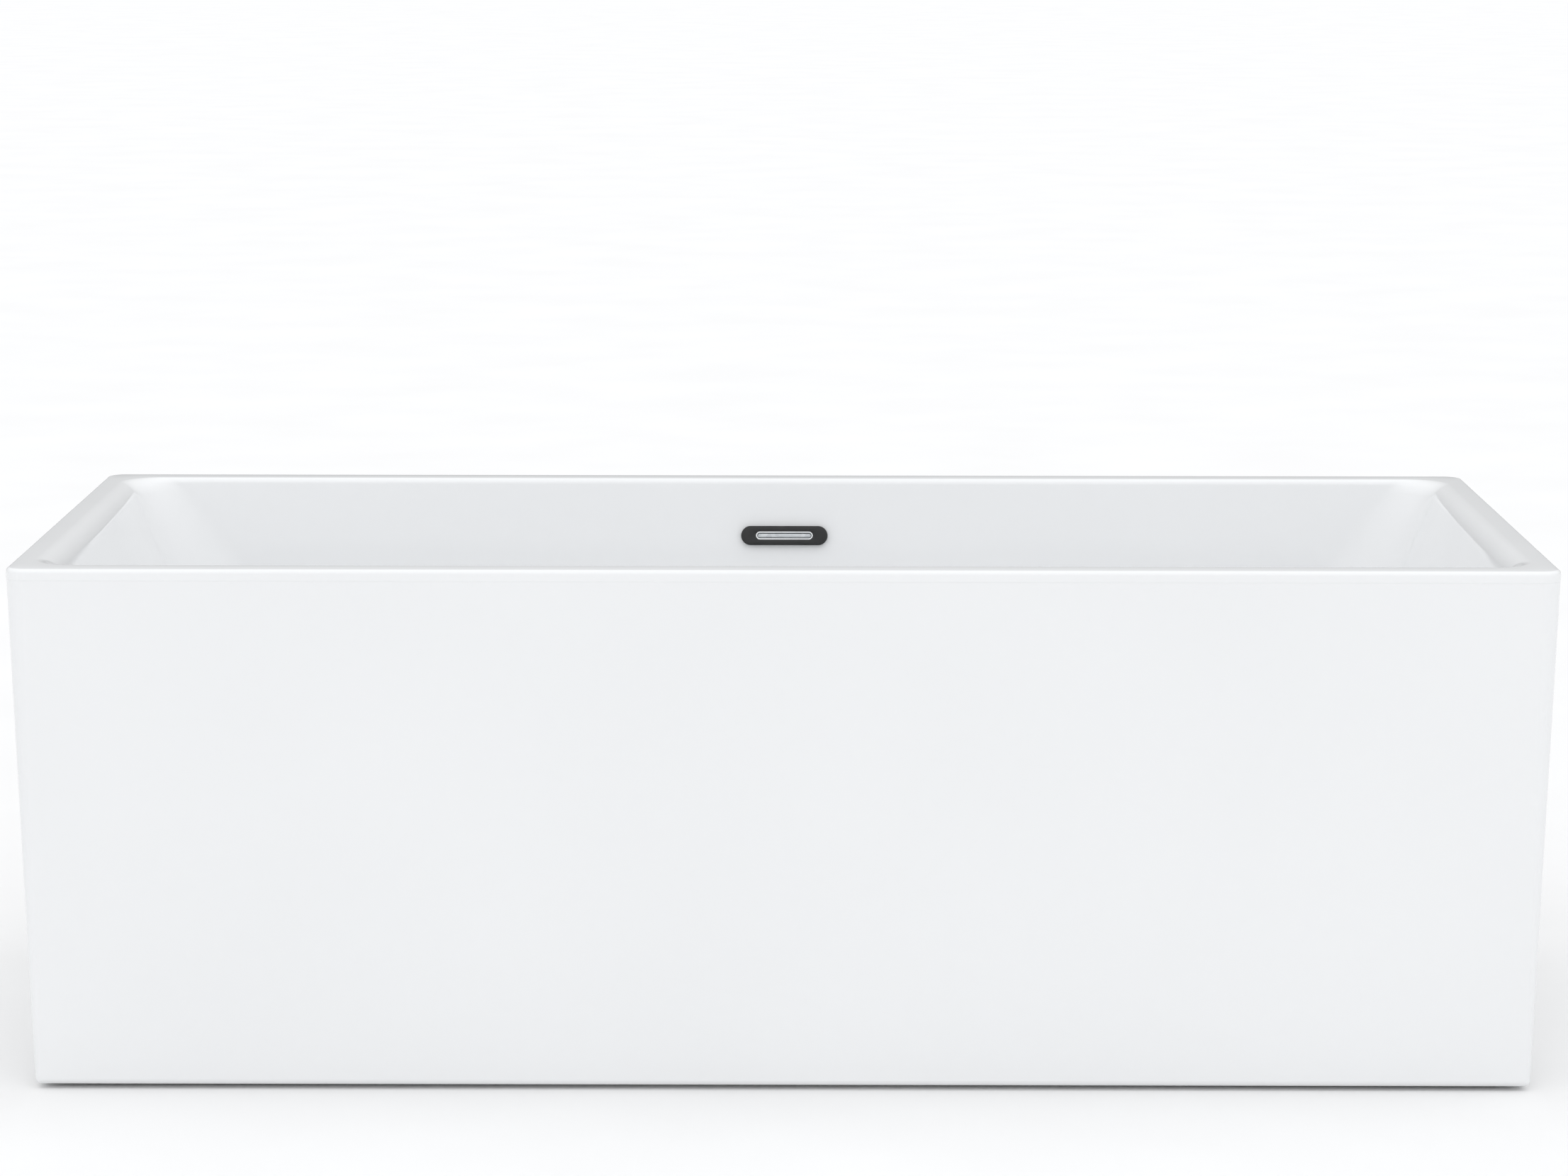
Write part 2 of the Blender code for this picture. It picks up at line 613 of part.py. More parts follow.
def overflow_frame():
    """Frame on the back wall's inner face: X along the tub, Y up the wall, Z out of the wall."""
    z = HEIGHT - OVERFLOW_DROP
    y = WIDTH / 2 - SIDE_WALL.inset(z)
    up = Vector((0, math.sin(SIDE_SLOPE), math.cos(SIDE_SLOPE)))
    out = Vector((0, -math.cos(SIDE_SLOPE), math.sin(SIDE_SLOPE)))
    frame = Matrix((Vector((1, 0, 0)), up, out)).transposed().to_4x4()
    frame.translation = Vector((0, y, z))
    return frame


def stadium_at(half, grow, z):
    return at_height(stadium(half[0] + grow, half[1] + grow), z)


def make_overflow():
    here = overflow_frame()
    black = material("black_metal", (0.012, 0.012, 0.013), 0.35)
    top, edge, skin_thickness = 0.0060, 0.0008, 0.0015
    lofted_ring("overflow_cover", [
        stadium_at(COVER_HALF, 0, GAP), stadium_at(COVER_HALF, 0, top - edge),
        stadium_at(COVER_HALF, -edge, top), stadium_at(SLOT_HALF, 0, top),
        stadium_at(SLOT_HALF, 0, top - skin_thickness),
        stadium_at(COVER_HALF, -skin_thickness, top - skin_thickness),
        stadium_at(COVER_HALF, -skin_thickness, GAP)], black, here)

    wall = 0.0008
    lofted_ring("overflow_liner", [
        stadium_at(SLOT_HALF, -GAP, -0.0060), stadium_at(SLOT_HALF, -GAP, top + 0.0004),
        stadium_at(SLOT_HALF, -GAP - wall, top + 0.0004), stadium_at(SLOT_HALF, -GAP - wall, -0.0060)],
        chrome(), here)

    plate_half = (0.0495, 0.0085)
    retainer = lofted_ring("overflow_retainer", [
        stadium_at(plate_half, 0, GAP), stadium_at(plate_half, 0, GAP + 0.0012),
        stadium_at(SLOT_HALF, GAP, GAP + 0.0012), stadium_at(SLOT_HALF, GAP, GAP)], zinc(), here)

    back = -SHELL - GAP
    body_half = (0.052, 0.011)
    lofted_ring("overflow_gasket", [
        stadium_at(body_half, 0, back - 0.0020), stadium_at(body_half, 0, back),
        stadium_at(WALL_SLOT_HALF, 0, back), stadium_at(WALL_SLOT_HALF, 0, back - 0.0020)],
        rubber(), here)
    body = make_overflow_body(here, back - 0.0020 - GAP, body_half)
    for side, x in (("left", -OVERFLOW_SCREW_X), ("right", OVERFLOW_SCREW_X)):
        make_overflow_screw("overflow_screw_" + side, here @ moved(x, 0), retainer, body)


def make_overflow_body(here, front, body_half):
    """Chamber behind the wall, open at the slot, with a spigot that points down the wall."""
    depth_end = -0.0370
    chamber_half = (0.0380, 0.0100)
    body = prism("overflow_body", stadium(*body_half), front - 0.0030, front, grey_plastic(), here)
    chamber = prism("overflow_chamber", stadium(*chamber_half), depth_end, front - 0.0010,
                    grey_plastic(), here)
    down = here @ moved(0, 0, -SPIGOT_DEPTH) @ Matrix.Rotation(math.radians(90), 4, "X")
    spigot = prism("overflow_spigot", circle(SPIGOT_RADIUS), 0.0, 0.0360, grey_plastic(), down)
    boss_place = [here @ moved(x, 0) for x in (-OVERFLOW_SCREW_X, OVERFLOW_SCREW_X)]
    bosses = [prism(f"overflow_boss_{k}", circle(0.0050, 12), front - 0.0140, front - 0.0010,
                    grey_plastic(), place) for k, place in enumerate(boss_place)]
    for piece in (chamber, spigot, *bosses):
        boolean(body, piece, "UNION")
    hollow = prism("overflow_hollow", stadium(0.0348, 0.0075), depth_end + 0.0025, front + 0.01,
                   grey_plastic(), here)
    bore = prism("overflow_spigot_bore", circle(SPIGOT_BORE), 0.002, 0.05, grey_plastic(), down)
    boolean(body, hollow, "DIFFERENCE")
    boolean(body, bore, "DIFFERENCE")
    return body


def make_overflow_screw(name, place, retainer, body):
    head_low = GAP + 0.0012 + GAP
    profile = [(0.0010, -0.0180), (0.0016, -0.0165), (0.0016, head_low), (0.0034, head_low),
               (0.0034, head_low + 0.0008), (0.0022, head_low + 0.0016)]
    lofted(name, turned_loops(profile, 12), zinc(), place)
    hole = prism(name + "_hole", circle(0.0020, 12), -0.0190, 0.0100, zinc(), place)
    boolean(retainer, hole, "DIFFERENCE")
    boolean(body, hole, "DIFFERENCE")


def hose_route(bend_steps=7):
    """Centre line in the plane x = 0: straight down behind the wall, one bend, then to the port."""
    frame = overflow_frame()
    start = frame @ Vector((0, -0.0130, -SPIGOT_DEPTH))
    down = (frame.to_3x3() @ Vector((0, -1, 0))).normalized()
    level, radius, last_y = PORT_HEIGHT, 0.100, DRAIN.y + 0.033
    meet = start + down * ((start.z - level) / -down.z)
    turn = math.radians(90) - SIDE_SLOPE
    bend_end = meet + Vector((0, -radius * math.tan(turn / 2), 0))
    centre = bend_end + Vector((0, 0, radius))
    bend = [centre + Matrix.Rotation(turn * (1 - k / bend_steps), 3, "X") @ (bend_end - centre)
            for k in range(bend_steps + 1)]
    return [start, *bend, Vector((0, last_y, level))]


def hose_loop(points, index, radius, steps=16):
    """Ring of points square to the route, which stays in the plane x = 0."""
    before, after = points[max(index - 1, 0)], points[min(index + 1, len(points) - 1)]
    along = (after - before).normalized()
    side = Vector((1, 0, 0))
    up = side.cross(along)
    return [points[index] + side * x + up * y for x, y in circle(radius, steps)]


def make_hose():
    points = hose_route()
    last = len(points) - 1
    outer = [hose_loop(points, k, HOSE_RADIUS) for k in range(last + 1)]
    inner = [hose_loop(points, k, HOSE_BORE) for k in range(last, -1, -1)]
    lofted_ring("overflow_hose", outer + inner, white_plastic())
    for name, index in (("overflow_hose_clip_top", 0), ("overflow_hose_clip_bottom", last)):
        inward = 1 if index == 0 else -1
        along = (points[index + inward] - points[index]).normalized()
        side = Vector((1, 0, 0))
        turn = Matrix((side, along.cross(side), along)).transposed().to_4x4()
        make_hose_clip(name, Matrix.Translation(points[index] + along * 0.004) @ turn)


def make_hose_clip(name, place):
    inner, outer, width = HOSE_RADIUS + GAP, HOSE_RADIUS + 0.0012, 0.009
    band = turned_ring(name, [(outer, 0.0), (outer, width), (inner, width), (inner, 0.0)], zinc(), place)
    outline = [(outer - 0.0004, -0.006), (outer + 0.005, -0.006),
               (outer + 0.005, 0.006), (outer - 0.0004, 0.006)]
    housing = prism(name + "_housing", outline, 0.0015, width - 0.0015, zinc(), place)
    boolean(band, housing, "UNION")


# ---------------------------------------------------------------- the object

def main():
    clear_scene()
    make_basin()
    make_skirt()
    board = make_board()
    rails, crosses = make_frame()
    make_frame_screws(rails, crosses, board)
    make_skirt_brackets()
    make_feet(crosses)
    make_waste()
    make_trap()
    make_overflow()
    make_hose()


main()
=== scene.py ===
"""Looks of the freestanding bathtub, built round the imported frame. Metres, +Z up, +Y at the back.

Every moulded, turned or threaded piece is made here as a fine mesh in the place of its CAD node.
"""

import json
import math

import bmesh
import bpy
from mathutils import Matrix, Vector


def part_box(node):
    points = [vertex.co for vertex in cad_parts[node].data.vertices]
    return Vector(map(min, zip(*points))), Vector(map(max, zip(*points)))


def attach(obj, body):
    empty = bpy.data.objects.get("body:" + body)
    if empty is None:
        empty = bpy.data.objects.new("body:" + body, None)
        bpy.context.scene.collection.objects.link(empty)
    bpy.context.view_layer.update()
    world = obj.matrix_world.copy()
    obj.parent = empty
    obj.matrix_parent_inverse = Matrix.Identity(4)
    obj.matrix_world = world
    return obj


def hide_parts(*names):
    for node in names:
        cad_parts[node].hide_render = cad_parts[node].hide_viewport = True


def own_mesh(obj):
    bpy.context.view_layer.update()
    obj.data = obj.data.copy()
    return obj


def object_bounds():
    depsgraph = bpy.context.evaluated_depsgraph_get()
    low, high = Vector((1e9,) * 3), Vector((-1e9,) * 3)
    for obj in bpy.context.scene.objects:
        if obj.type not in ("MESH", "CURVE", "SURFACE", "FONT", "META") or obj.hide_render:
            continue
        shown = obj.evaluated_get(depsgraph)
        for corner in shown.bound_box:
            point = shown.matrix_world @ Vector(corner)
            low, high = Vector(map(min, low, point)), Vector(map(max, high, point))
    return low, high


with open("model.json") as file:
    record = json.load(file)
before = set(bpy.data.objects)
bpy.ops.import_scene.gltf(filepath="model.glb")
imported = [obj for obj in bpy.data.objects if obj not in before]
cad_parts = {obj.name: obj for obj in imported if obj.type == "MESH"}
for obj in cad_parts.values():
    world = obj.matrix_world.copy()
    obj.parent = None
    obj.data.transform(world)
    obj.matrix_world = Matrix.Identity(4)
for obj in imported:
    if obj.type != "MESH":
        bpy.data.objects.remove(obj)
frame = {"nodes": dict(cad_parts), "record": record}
cad_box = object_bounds()

LENGTH, WIDTH, HEIGHT = (high - low for low, high in zip(*cad_box))
BODY = "tub"

# The basin and skirt, as the CAD has them.
SHELL = 0.004
RIM_EDGE_RADIUS = 0.005
RIM_LIP = 0.012
RIM_CORNER_RADIUS = 0.022
END_FLAT, SIDE_FLAT = 0.018, 0.025
END_FILLET, SIDE_FILLET = 0.028, 0.008
END_SLOPE, SIDE_SLOPE = math.radians(26), math.radians(8)
INNER_CORNER_TOP, INNER_CORNER_GROWTH = 0.045, 0.085
FLOOR = 0.165
FLOOR_FALL = 0.004
END_FLOOR_FILLET, SIDE_FLOOR_FILLET = 0.090, 0.070
SKIRT_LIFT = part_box("outer_skirt")[0].z
SKIRT_TAPER = 0.0168
SKIRT_BOTTOM_RADIUS = 0.008
SKIRT_RETURN = 0.028
SKIRT_FLANGE = 0.020
BOND = 0.0012
GAP = 0.0003
LIP_BOTTOM = HEIGHT - RIM_LIP

# The drain in the floor, and the recess that the waste sits in.
DRAIN = (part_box("waste_cap")[0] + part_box("waste_cap")[1]) / 2
RECESS_RADIUS, RECESS_DEPTH = 0.0425, 0.004
DRAIN_HOLE = 0.0245
DRAIN_LEVEL = FLOOR - FLOOR_FALL
RECESS_FLOOR = DRAIN_LEVEL - RECESS_DEPTH

# The overflow in the back wall.
OVERFLOW_DROP = 0.070
COVER_HALF = (0.054, 0.012)
SLOT_HALF = (0.035, 0.0045)
WALL_SLOT_HALF = (0.046, 0.006)
COVER_PROUD = 0.0060
OVERFLOW_SCREW_X = 0.041
SPIGOT_RADIUS, SPIGOT_BORE, SPIGOT_DEPTH = 0.0120, 0.0095, 0.0245
HOSE_BORE, HOSE_RADIUS = 0.0125, 0.0150
PORT_HEIGHT, PORT_END = 0.092, 0.155

# The frame, its board and its feet.
TUBE, TUBE_WALL, TUBE_CORNER = 0.025, 0.0015, 0.003
BOARD_HOLE = 0.048
STUD_RADIUS, THREAD_PITCH, THREAD_DEPTH = 0.0059, 0.00175, 0.0010
HEX_FLATS = 0.019

# Studio light: the sky's strength is SKY_BASE plus the direction times SKY_SLOPE. Below the horizon the
# sky is mirrored, so the underside is lit too when the floor is left out.
SKY_BASE, SKY_SLOPE = 0.63, (0.0, -0.32, 0.79)
SKY_TINT = (0.995, 1.0, 1.008, 1.0)
BACKDROP = 1.05
FLOOR_RINGS = (2.0, 8.0, 40.0)

# Camera: a long lens at standing eye height, tilted a little down at the tub.
LENS_MM, SENSOR_MM = 99.5, 36.0
CAMERA_PLACE = (0.009, -5.029, 1.349)
CAMERA_DOWN, CAMERA_YAW, CAMERA_ROLL = math.radians(9.49), math.radians(0.1), math.radians(0.085)
CAMERA_REACH = 200.0

CORNER_STEPS = 18
ROUND_STEPS = 96
STUD_STEPS = 48


# ---------------------------------------------------------------- shader helpers

class Shader:
    """A Principled material whose sockets are fed by procedural nodes."""

    def __init__(self, name, colour, roughness, metallic=0.0, ior=1.5):
        self.material = bpy.data.materials.new(name)
        self.material.use_nodes = True
        self.tree = self.material.node_tree
        self.surface = self.tree.nodes["Principled BSDF"]
        self.set("Base Color", (*colour, 1.0))
        self.set("Roughness", roughness)
        self.set("Metallic", metallic)
        self.set("IOR", ior)
        self.place = self.tree.nodes.new("ShaderNodeTexCoord").outputs["Object"]
        self.height = None

    def set(self, socket, value):
        self.surface.inputs[socket].default_value = value

    def add(self, kind, **settings):
        node = self.tree.nodes.new(kind)
        for name, value in settings.items():
            setattr(node, name, value)
        return node

    def link(self, source, target):
        self.tree.links.new(source, target)

    def stretched(self, scale):
        """The piece's own coordinates, scaled by axis."""
        mapping = self.add("ShaderNodeMapping")
        mapping.inputs["Scale"].default_value = scale
        self.link(self.place, mapping.inputs["Vector"])
        return mapping.outputs["Vector"]

    def noise(self, scale, detail=2.0, rough=0.5, vector=None):
        node = self.add("ShaderNodeTexNoise")
        node.inputs["Scale"].default_value = scale
        node.inputs["Detail"].default_value = detail
        node.inputs["Roughness"].default_value = rough
        self.link(vector or self.place, node.inputs["Vector"])
        return node.outputs["Fac"]

    def cells(self, scale, feature="F1", vector=None):
        node = self.add("ShaderNodeTexVoronoi", feature=feature)
        node.inputs["Scale"].default_value = scale
        self.link(vector or self.place, node.inputs["Vector"])
        return node

    def spread(self, source, low, high, from_low=0.3, from_high=0.7):
        """Rescales a 0 to 1 pattern so that it runs from low to high."""
        node = self.add("ShaderNodeMapRange")
        values = {"From Min": from_low, "From Max": from_high, "To Min": low, "To Max": high}
        for name, value in values.items():
            node.inputs[name].default_value = value
        self.link(source, node.inputs["Value"])
        return node.outputs["Result"]

    def mix(self, factor, first, second):
        node = self.add("ShaderNodeMix", data_type="RGBA")
        self.link(factor, node.inputs["Factor"])
        for index, colour in ((6, first), (7, second)):
            if isinstance(colour, tuple):
                node.inputs[index].default_value = (*colour, 1.0)
            else:
                self.link(colour, node.inputs[index])
        return node.outputs[2]

    def colour_by(self, factor, first, second):
        self.link(self.mix(factor, first, second), self.surface.inputs["Base Color"])

    def roughness_by(self, factor, low, high):
        self.link(self.spread(factor, low, high), self.surface.inputs["Roughness"])

    def bump(self, height, depth, distance=0.001):
        """Adds a layer of relief, depth from 0 to 1 times the distance in metres."""
        node = self.add("ShaderNodeBump")
        node.inputs["Strength"].default_value = depth
        node.inputs["Distance"].default_value = distance
        self.link(height, node.inputs["Height"])
        if self.height is not None:
            self.link(self.height, node.inputs["Normal"])
        self.height = node.outputs["Normal"]
        self.link(self.height, self.surface.inputs["Normal"])


# ---------------------------------------------------------------- materials

def make_acrylic():
    """Glossy cast acrylic: a faint wander in tone, the slow waves of vacuum forming, a fine haze."""
    shader = Shader("white_acrylic", (0.84, 0.85, 0.86), 0.06, ior=1.49)
    shader.colour_by(shader.spread(shader.noise(2.2, 2.0), 0.0, 1.0),
                     (0.803, 0.811, 0.819), (0.818, 0.826, 0.834))
    shader.roughness_by(shader.noise(6.0, 3.0), 0.045, 0.085)
    shader.bump(shader.noise(5.0, 1.0), 0.5, 0.0016)
    shader.bump(shader.noise(420.0, 1.0), 0.05, 0.0001)
    return shader.material


def make_glass_fibre():
    """The sprayed glass-fibre backing on the hidden side of the acrylic: rough, with chopped strands."""
    shader = Shader("glass_fibre_backing", (0.62, 0.60, 0.55), 0.6)
    strands = shader.noise(90.0, 5.0, 0.7, shader.stretched((1.0, 0.25, 1.0)))
    shader.colour_by(shader.spread(strands, 0.0, 1.0), (0.55, 0.53, 0.47), (0.72, 0.70, 0.65))
    shader.roughness_by(strands, 0.45, 0.75)
    shader.bump(strands, 0.7, 0.0012)
    return shader.material


def make_sealant():
    shader = Shader("white_sealant", (0.83, 0.84, 0.85), 0.12, ior=1.49)
    tone = shader.noise(14.0, 2.0)
    shader.colour_by(shader.spread(tone, 0.0, 1.0), (0.803, 0.811, 0.819), (0.818, 0.826, 0.834))
    shader.roughness_by(tone, 0.08, 0.14)
    return shader.material


def make_black_metal():
    """Satin black coating with a very fine orange peel."""
    shader = Shader("black_metal", (0.011, 0.011, 0.012), 0.34)
    grain = shader.noise(900.0, 2.0)
    shader.colour_by(shader.spread(shader.noise(60.0, 2.0), 0.0, 1.0),
                     (0.0085, 0.0087, 0.0090), (0.0130, 0.0130, 0.0132))
    shader.roughness_by(shader.noise(150.0, 3.0), 0.28, 0.42)
    shader.bump(grain, 0.25, 0.0001)
    return shader.material


def make_chrome():
    """Chrome plating: near mirror, with a trace of wiping haze and hairline scratches."""
    shader = Shader("chrome", (0.78, 0.79, 0.80), 0.05, 1.0)
    haze = shader.noise(35.0, 4.0)
    shader.colour_by(shader.spread(haze, 0.0, 1.0), (0.74, 0.75, 0.76), (0.81, 0.82, 0.83))
    shader.roughness_by(haze, 0.035, 0.11)
    shader.bump(shader.noise(700.0, 1.0, 0.5, shader.stretched((1.0, 0.06, 1.0))), 0.08, 0.00005)
    return shader.material


def make_zinc():
    """Zinc-plated steel: spangled tone, dull patches, a drawn grain."""
    shader = Shader("zinc_plated_steel", (0.62, 0.64, 0.66), 0.35, 1.0)
    spangle = shader.cells(140.0).outputs["Color"]
    shader.colour_by(shader.spread(spangle, 0.0, 1.0, 0.0, 1.0), (0.54, 0.56, 0.58), (0.68, 0.70, 0.71))
    shader.roughness_by(shader.noise(40.0, 4.0), 0.28, 0.46)
    shader.bump(shader.noise(500.0, 3.0), 0.2, 0.0001)
    return shader.material


def make_moulded(name, dark, light, low, high, grain=600.0):
    """Moulded plastic or rubber: a soft variation in tone and an eroded-tool texture."""
    shader = Shader(name, light, high)
    shader.colour_by(shader.spread(shader.noise(45.0, 3.0), 0.0, 1.0), dark, light)
    shader.roughness_by(shader.noise(80.0, 2.0), low, high)
    shader.bump(shader.noise(grain, 2.0), 0.35, 0.0002)
    return shader.material


def make_plywood():
    """Birch plywood: long grain on the faces, and dark glue lines between the plies at the edge."""
    shader = Shader("plywood", (0.52, 0.36, 0.21), 0.7)
    grain = shader.noise(26.0, 6.0, 0.65, shader.stretched((0.12, 1.0, 1.0)))
    face = shader.mix(shader.spread(grain, 0.0, 1.0), (0.40, 0.26, 0.14), (0.62, 0.45, 0.28))
    layers = shader.add("ShaderNodeTexWave", wave_type="BANDS", bands_direction="Z")
    layers.inputs["Scale"].default_value = 105.0
    layers.inputs["Distortion"].default_value = 0.3
    shader.link(shader.place, layers.inputs["Vector"])
    edge = shader.mix(shader.spread(layers.outputs["Fac"], 0.0, 1.0, 0.25, 0.75), (0.26, 0.16, 0.09), face)
    normal = shader.add("ShaderNodeNewGeometry")
    upward = shader.add("ShaderNodeSeparateXYZ")
    shader.link(normal.outputs["True Normal"], upward.inputs[0])
    level = shader.add("ShaderNodeMath", operation="ABSOLUTE")
    shader.link(upward.outputs["Z"], level.inputs[0])
    shader.colour_by(shader.spread(level.outputs[0], 0.0, 1.0, 0.4, 0.6), edge, face)
    shader.roughness_by(grain, 0.6, 0.8)
    shader.bump(grain, 0.4, 0.0004)
    return shader.material


def make_brass():
    shader = Shader("brass", (0.72, 0.55, 0.26), 0.3, 1.0)
    turning = shader.noise(300.0, 2.0, 0.5, shader.stretched((0.1, 0.1, 3.0)))
    shader.colour_by(shader.spread(turning, 0.0, 1.0), (0.66, 0.49, 0.21), (0.78, 0.61, 0.32))
    shader.roughness_by(turning, 0.22, 0.36)
    shader.bump(turning, 0.2, 0.0001)
    return shader.material


ACRYLIC = make_acrylic()
GLASS_FIBRE = make_glass_fibre()
SEALANT = make_sealant()
BLACK_METAL = make_black_metal()
CHROME = make_chrome()
ZINC = make_zinc()
RUBBER = make_moulded("black_rubber", (0.014, 0.014, 0.014), (0.026, 0.026, 0.026), 0.6, 0.8)
GREY_PLASTIC = make_moulded("grey_plastic", (0.40, 0.41, 0.40), (0.46, 0.47, 0.46), 0.38, 0.5)
WHITE_PLASTIC = make_moulded("white_plastic", (0.74, 0.74, 0.73), (0.81, 0.81, 0.80), 0.35, 0.5)
BLACK_NYLON = make_moulded("black_nylon", (0.022, 0.022, 0.022), (0.035, 0.035, 0.035), 0.42, 0.58)
PLYWOOD = make_plywood()
BRASS = make_brass()

SLOTS = {"white_acrylic": ACRYLIC, "black_metal": BLACK_METAL, "chrome": CHROME, "zinc": ZINC,
         "rubber": RUBBER, "grey_plastic": GREY_PLASTIC, "white_plastic": WHITE_PLASTIC,
         "black_nylon": BLACK_NYLON, "plywood": PLYWOOD, "brass": BRASS}
NODE_SLOT = {part["node"]: part["material_slot"] for part in frame["record"]["subparts"]}
NODE_BODY = {node: body for body, nodes in frame["record"]["behaviour"]["bodies"].items()
             for node in nodes}


# ---------------------------------------------------------------- mesh helpers

def finish_piece(name, bm, node, finishes=None, place=None, sharp=35):
    """Makes bm the piece that stands for a CAD node, riding on that node's body."""
    bmesh.ops.recalc_face_normals(bm, faces=bm.faces[:])
    mesh = bpy.data.meshes.new(name)
    bm.to_mesh(mesh)
    bm.free()
    if place is not None:
        mesh.transform(place)
    mesh.shade_smooth()
    mesh.set_sharp_from_angle(angle=math.radians(sharp))
    for finish in finishes or [SLOTS[NODE_SLOT[node]]]:
        mesh.materials.append(finish)
    piece = bpy.data.objects.new(name, mesh)
    bpy.context.scene.collection.objects.link(piece)
    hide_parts(node)
    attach(piece, NODE_BODY[node])
    return piece


def apply_modifiers(piece):
    """Bakes a piece's modifiers into its mesh."""
    evaluated = piece.evaluated_get(bpy.context.evaluated_depsgraph_get())
    mesh = bpy.data.meshes.new_from_object(evaluated)
    piece.modifiers.clear()
    piece.data = mesh


def combine(piece, other, operation):
    """Joins other to piece or takes it out of piece, then deletes other."""
    modifier = piece.modifiers.new("combine", "BOOLEAN")
    modifier.object = other
    modifier.operation = operation
    apply_modifiers(piece)
    bpy.data.objects.remove(other, do_unlink=True)
    piece.data.set_sharp_from_angle(angle=math.radians(35))


def arc(centre_x, centre_y, radius, start, stop, steps):
    """Points of an arc, ends included, with its angles in degrees."""
    angles = [math.radians(start + (stop - start) * k / steps) for k in range(steps + 1)]
    return [(centre_x + radius * math.cos(t), centre_y + radius * math.sin(t)) for t in angles]


def rounded_rectangle(half_x, half_y, radius, shares_x=(), shares_y=(), steps=CORNER_STEPS):
    """Anticlockwise outline. The shares place more points on the straight sides, from -1 to 1."""
    flat_x, flat_y = half_x - radius, half_y - radius
    points = [(half_x, share * flat_y) for share in shares_y]
    points += arc(flat_x, flat_y, radius, 0, 90, steps)
    points += [(-share * flat_x, half_y) for share in shares_x]
    points += arc(-flat_x, flat_y, radius, 90, 180, steps)
    points += [(-half_x, -share * flat_y) for share in shares_y]
    points += arc(-flat_x, -flat_y, radius, 180, 270, steps)
    points += [(share * flat_x, -half_y) for share in shares_x]
    points += arc(flat_x, -flat_y, radius, 270, 360, steps)
    return points


def stadium(half_x, half_y, steps=24):
    """Anticlockwise outline with round ends."""
    flat = half_x - half_y
    return arc(flat, 0, half_y, -90, 90, steps) + arc(-flat, 0, half_y, 90, 270, steps)


def circle(radius, steps=ROUND_STEPS):
    return arc(0, 0, radius, 0, 360 * (steps - 1) / steps, steps - 1)


def at_height(outline, z):
    return [Vector((x, y, z)) for x, y in outline]


def skin(bm, loops, ring=False):
    """Faces between each loop of points and the next, and round to the first one for a ring."""
    rows = [[bm.verts.new(point) for point in loop] for loop in loops]
    pairs = list(zip(rows, rows[1:] + rows[:1])) if ring else list(zip(rows, rows[1:]))
    faces = []
    for low, high in pairs:
        for k in range(len(low)):
            after = (k + 1) % len(low)
            faces.append(bm.faces.new((low[k], low[after], high[after], high[k])))
    return rows, faces


def fill(bm, loops, ring):
    """A closed ring of loops, or a stack of them that is capped at both ends."""
    rows, _ = skin(bm, loops, ring)
    if not ring:
        bm.faces.new(rows[0])
        bm.faces.new(rows[-1])


def solid(node, loops, place=None, ring=False):
    """The fine piece for a CAD node, through loops of points."""
    bm = bmesh.new()
    fill(bm, loops, ring)
    return finish_piece(node + "_fine", bm, node, place=place)


def loose(loops, place=None, ring=False):
    """A solid that only serves to be joined to a piece or cut out of it."""
    bm = bmesh.new()
    fill(bm, loops, ring)
    bmesh.ops.recalc_face_normals(bm, faces=bm.faces[:])
    mesh = bpy.data.meshes.new("loose")
    bm.to_mesh(mesh)
    bm.free()
    if place is not None:
        mesh.transform(place)
    mesh.shade_smooth()
    made = bpy.data.objects.new("loose", mesh)
    bpy.context.scene.collection.objects.link(made)
    return made


def eased(points, radius, closed=True, steps=4):
    """A section with each corner replaced by a short curve that begins radius away from it."""
    points = [Vector(point) for point in points]
    out = []
    for k, corner in enumerate(points):
        if not closed and k in (0, len(points) - 1):
            out.append(corner)
            continue
        sides = [point - corner for point in (points[k - 1], points[(k + 1) % len(points)])]
        start, stop = (corner + side * min(0.45, radius / side.length) for side in sides)
        for j in range(steps + 1):
            share = j / steps
            out.append(start * (1 - share) ** 2 + corner * (2 * share * (1 - share))
                       + stop * share ** 2)
    return out


def turned_loops(profile, ease=0.0005, ring=True, outline=circle):
    """Loops of a shape turned about Z from (radius, height) points."""
    return [at_height(outline(r), z) for r, z in eased(profile, ease, closed=ring)]


def turned(node, profile, place, **options):
    return solid(node, turned_loops(profile, **options), place, options.get("ring", True))


def moved(x, y, z=0.0):
    return Matrix.Translation((x, y, z))


def along_x(x, y, z):
    """Places a solid that was made along Z so that it points along +X."""
    return moved(x, y, z) @ Matrix.Rotation(math.radians(90), 4, "Y")


def along_y(x, y, z):
    """Places a solid that was made along Z so that it points along +Y."""
    return moved(x, y, z) @ Matrix.Rotation(math.radians(-90), 4, "X")


def middle(node):
    low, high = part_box(node)
    return (low + high) / 2


# ---------------------------------------------------------------- basin

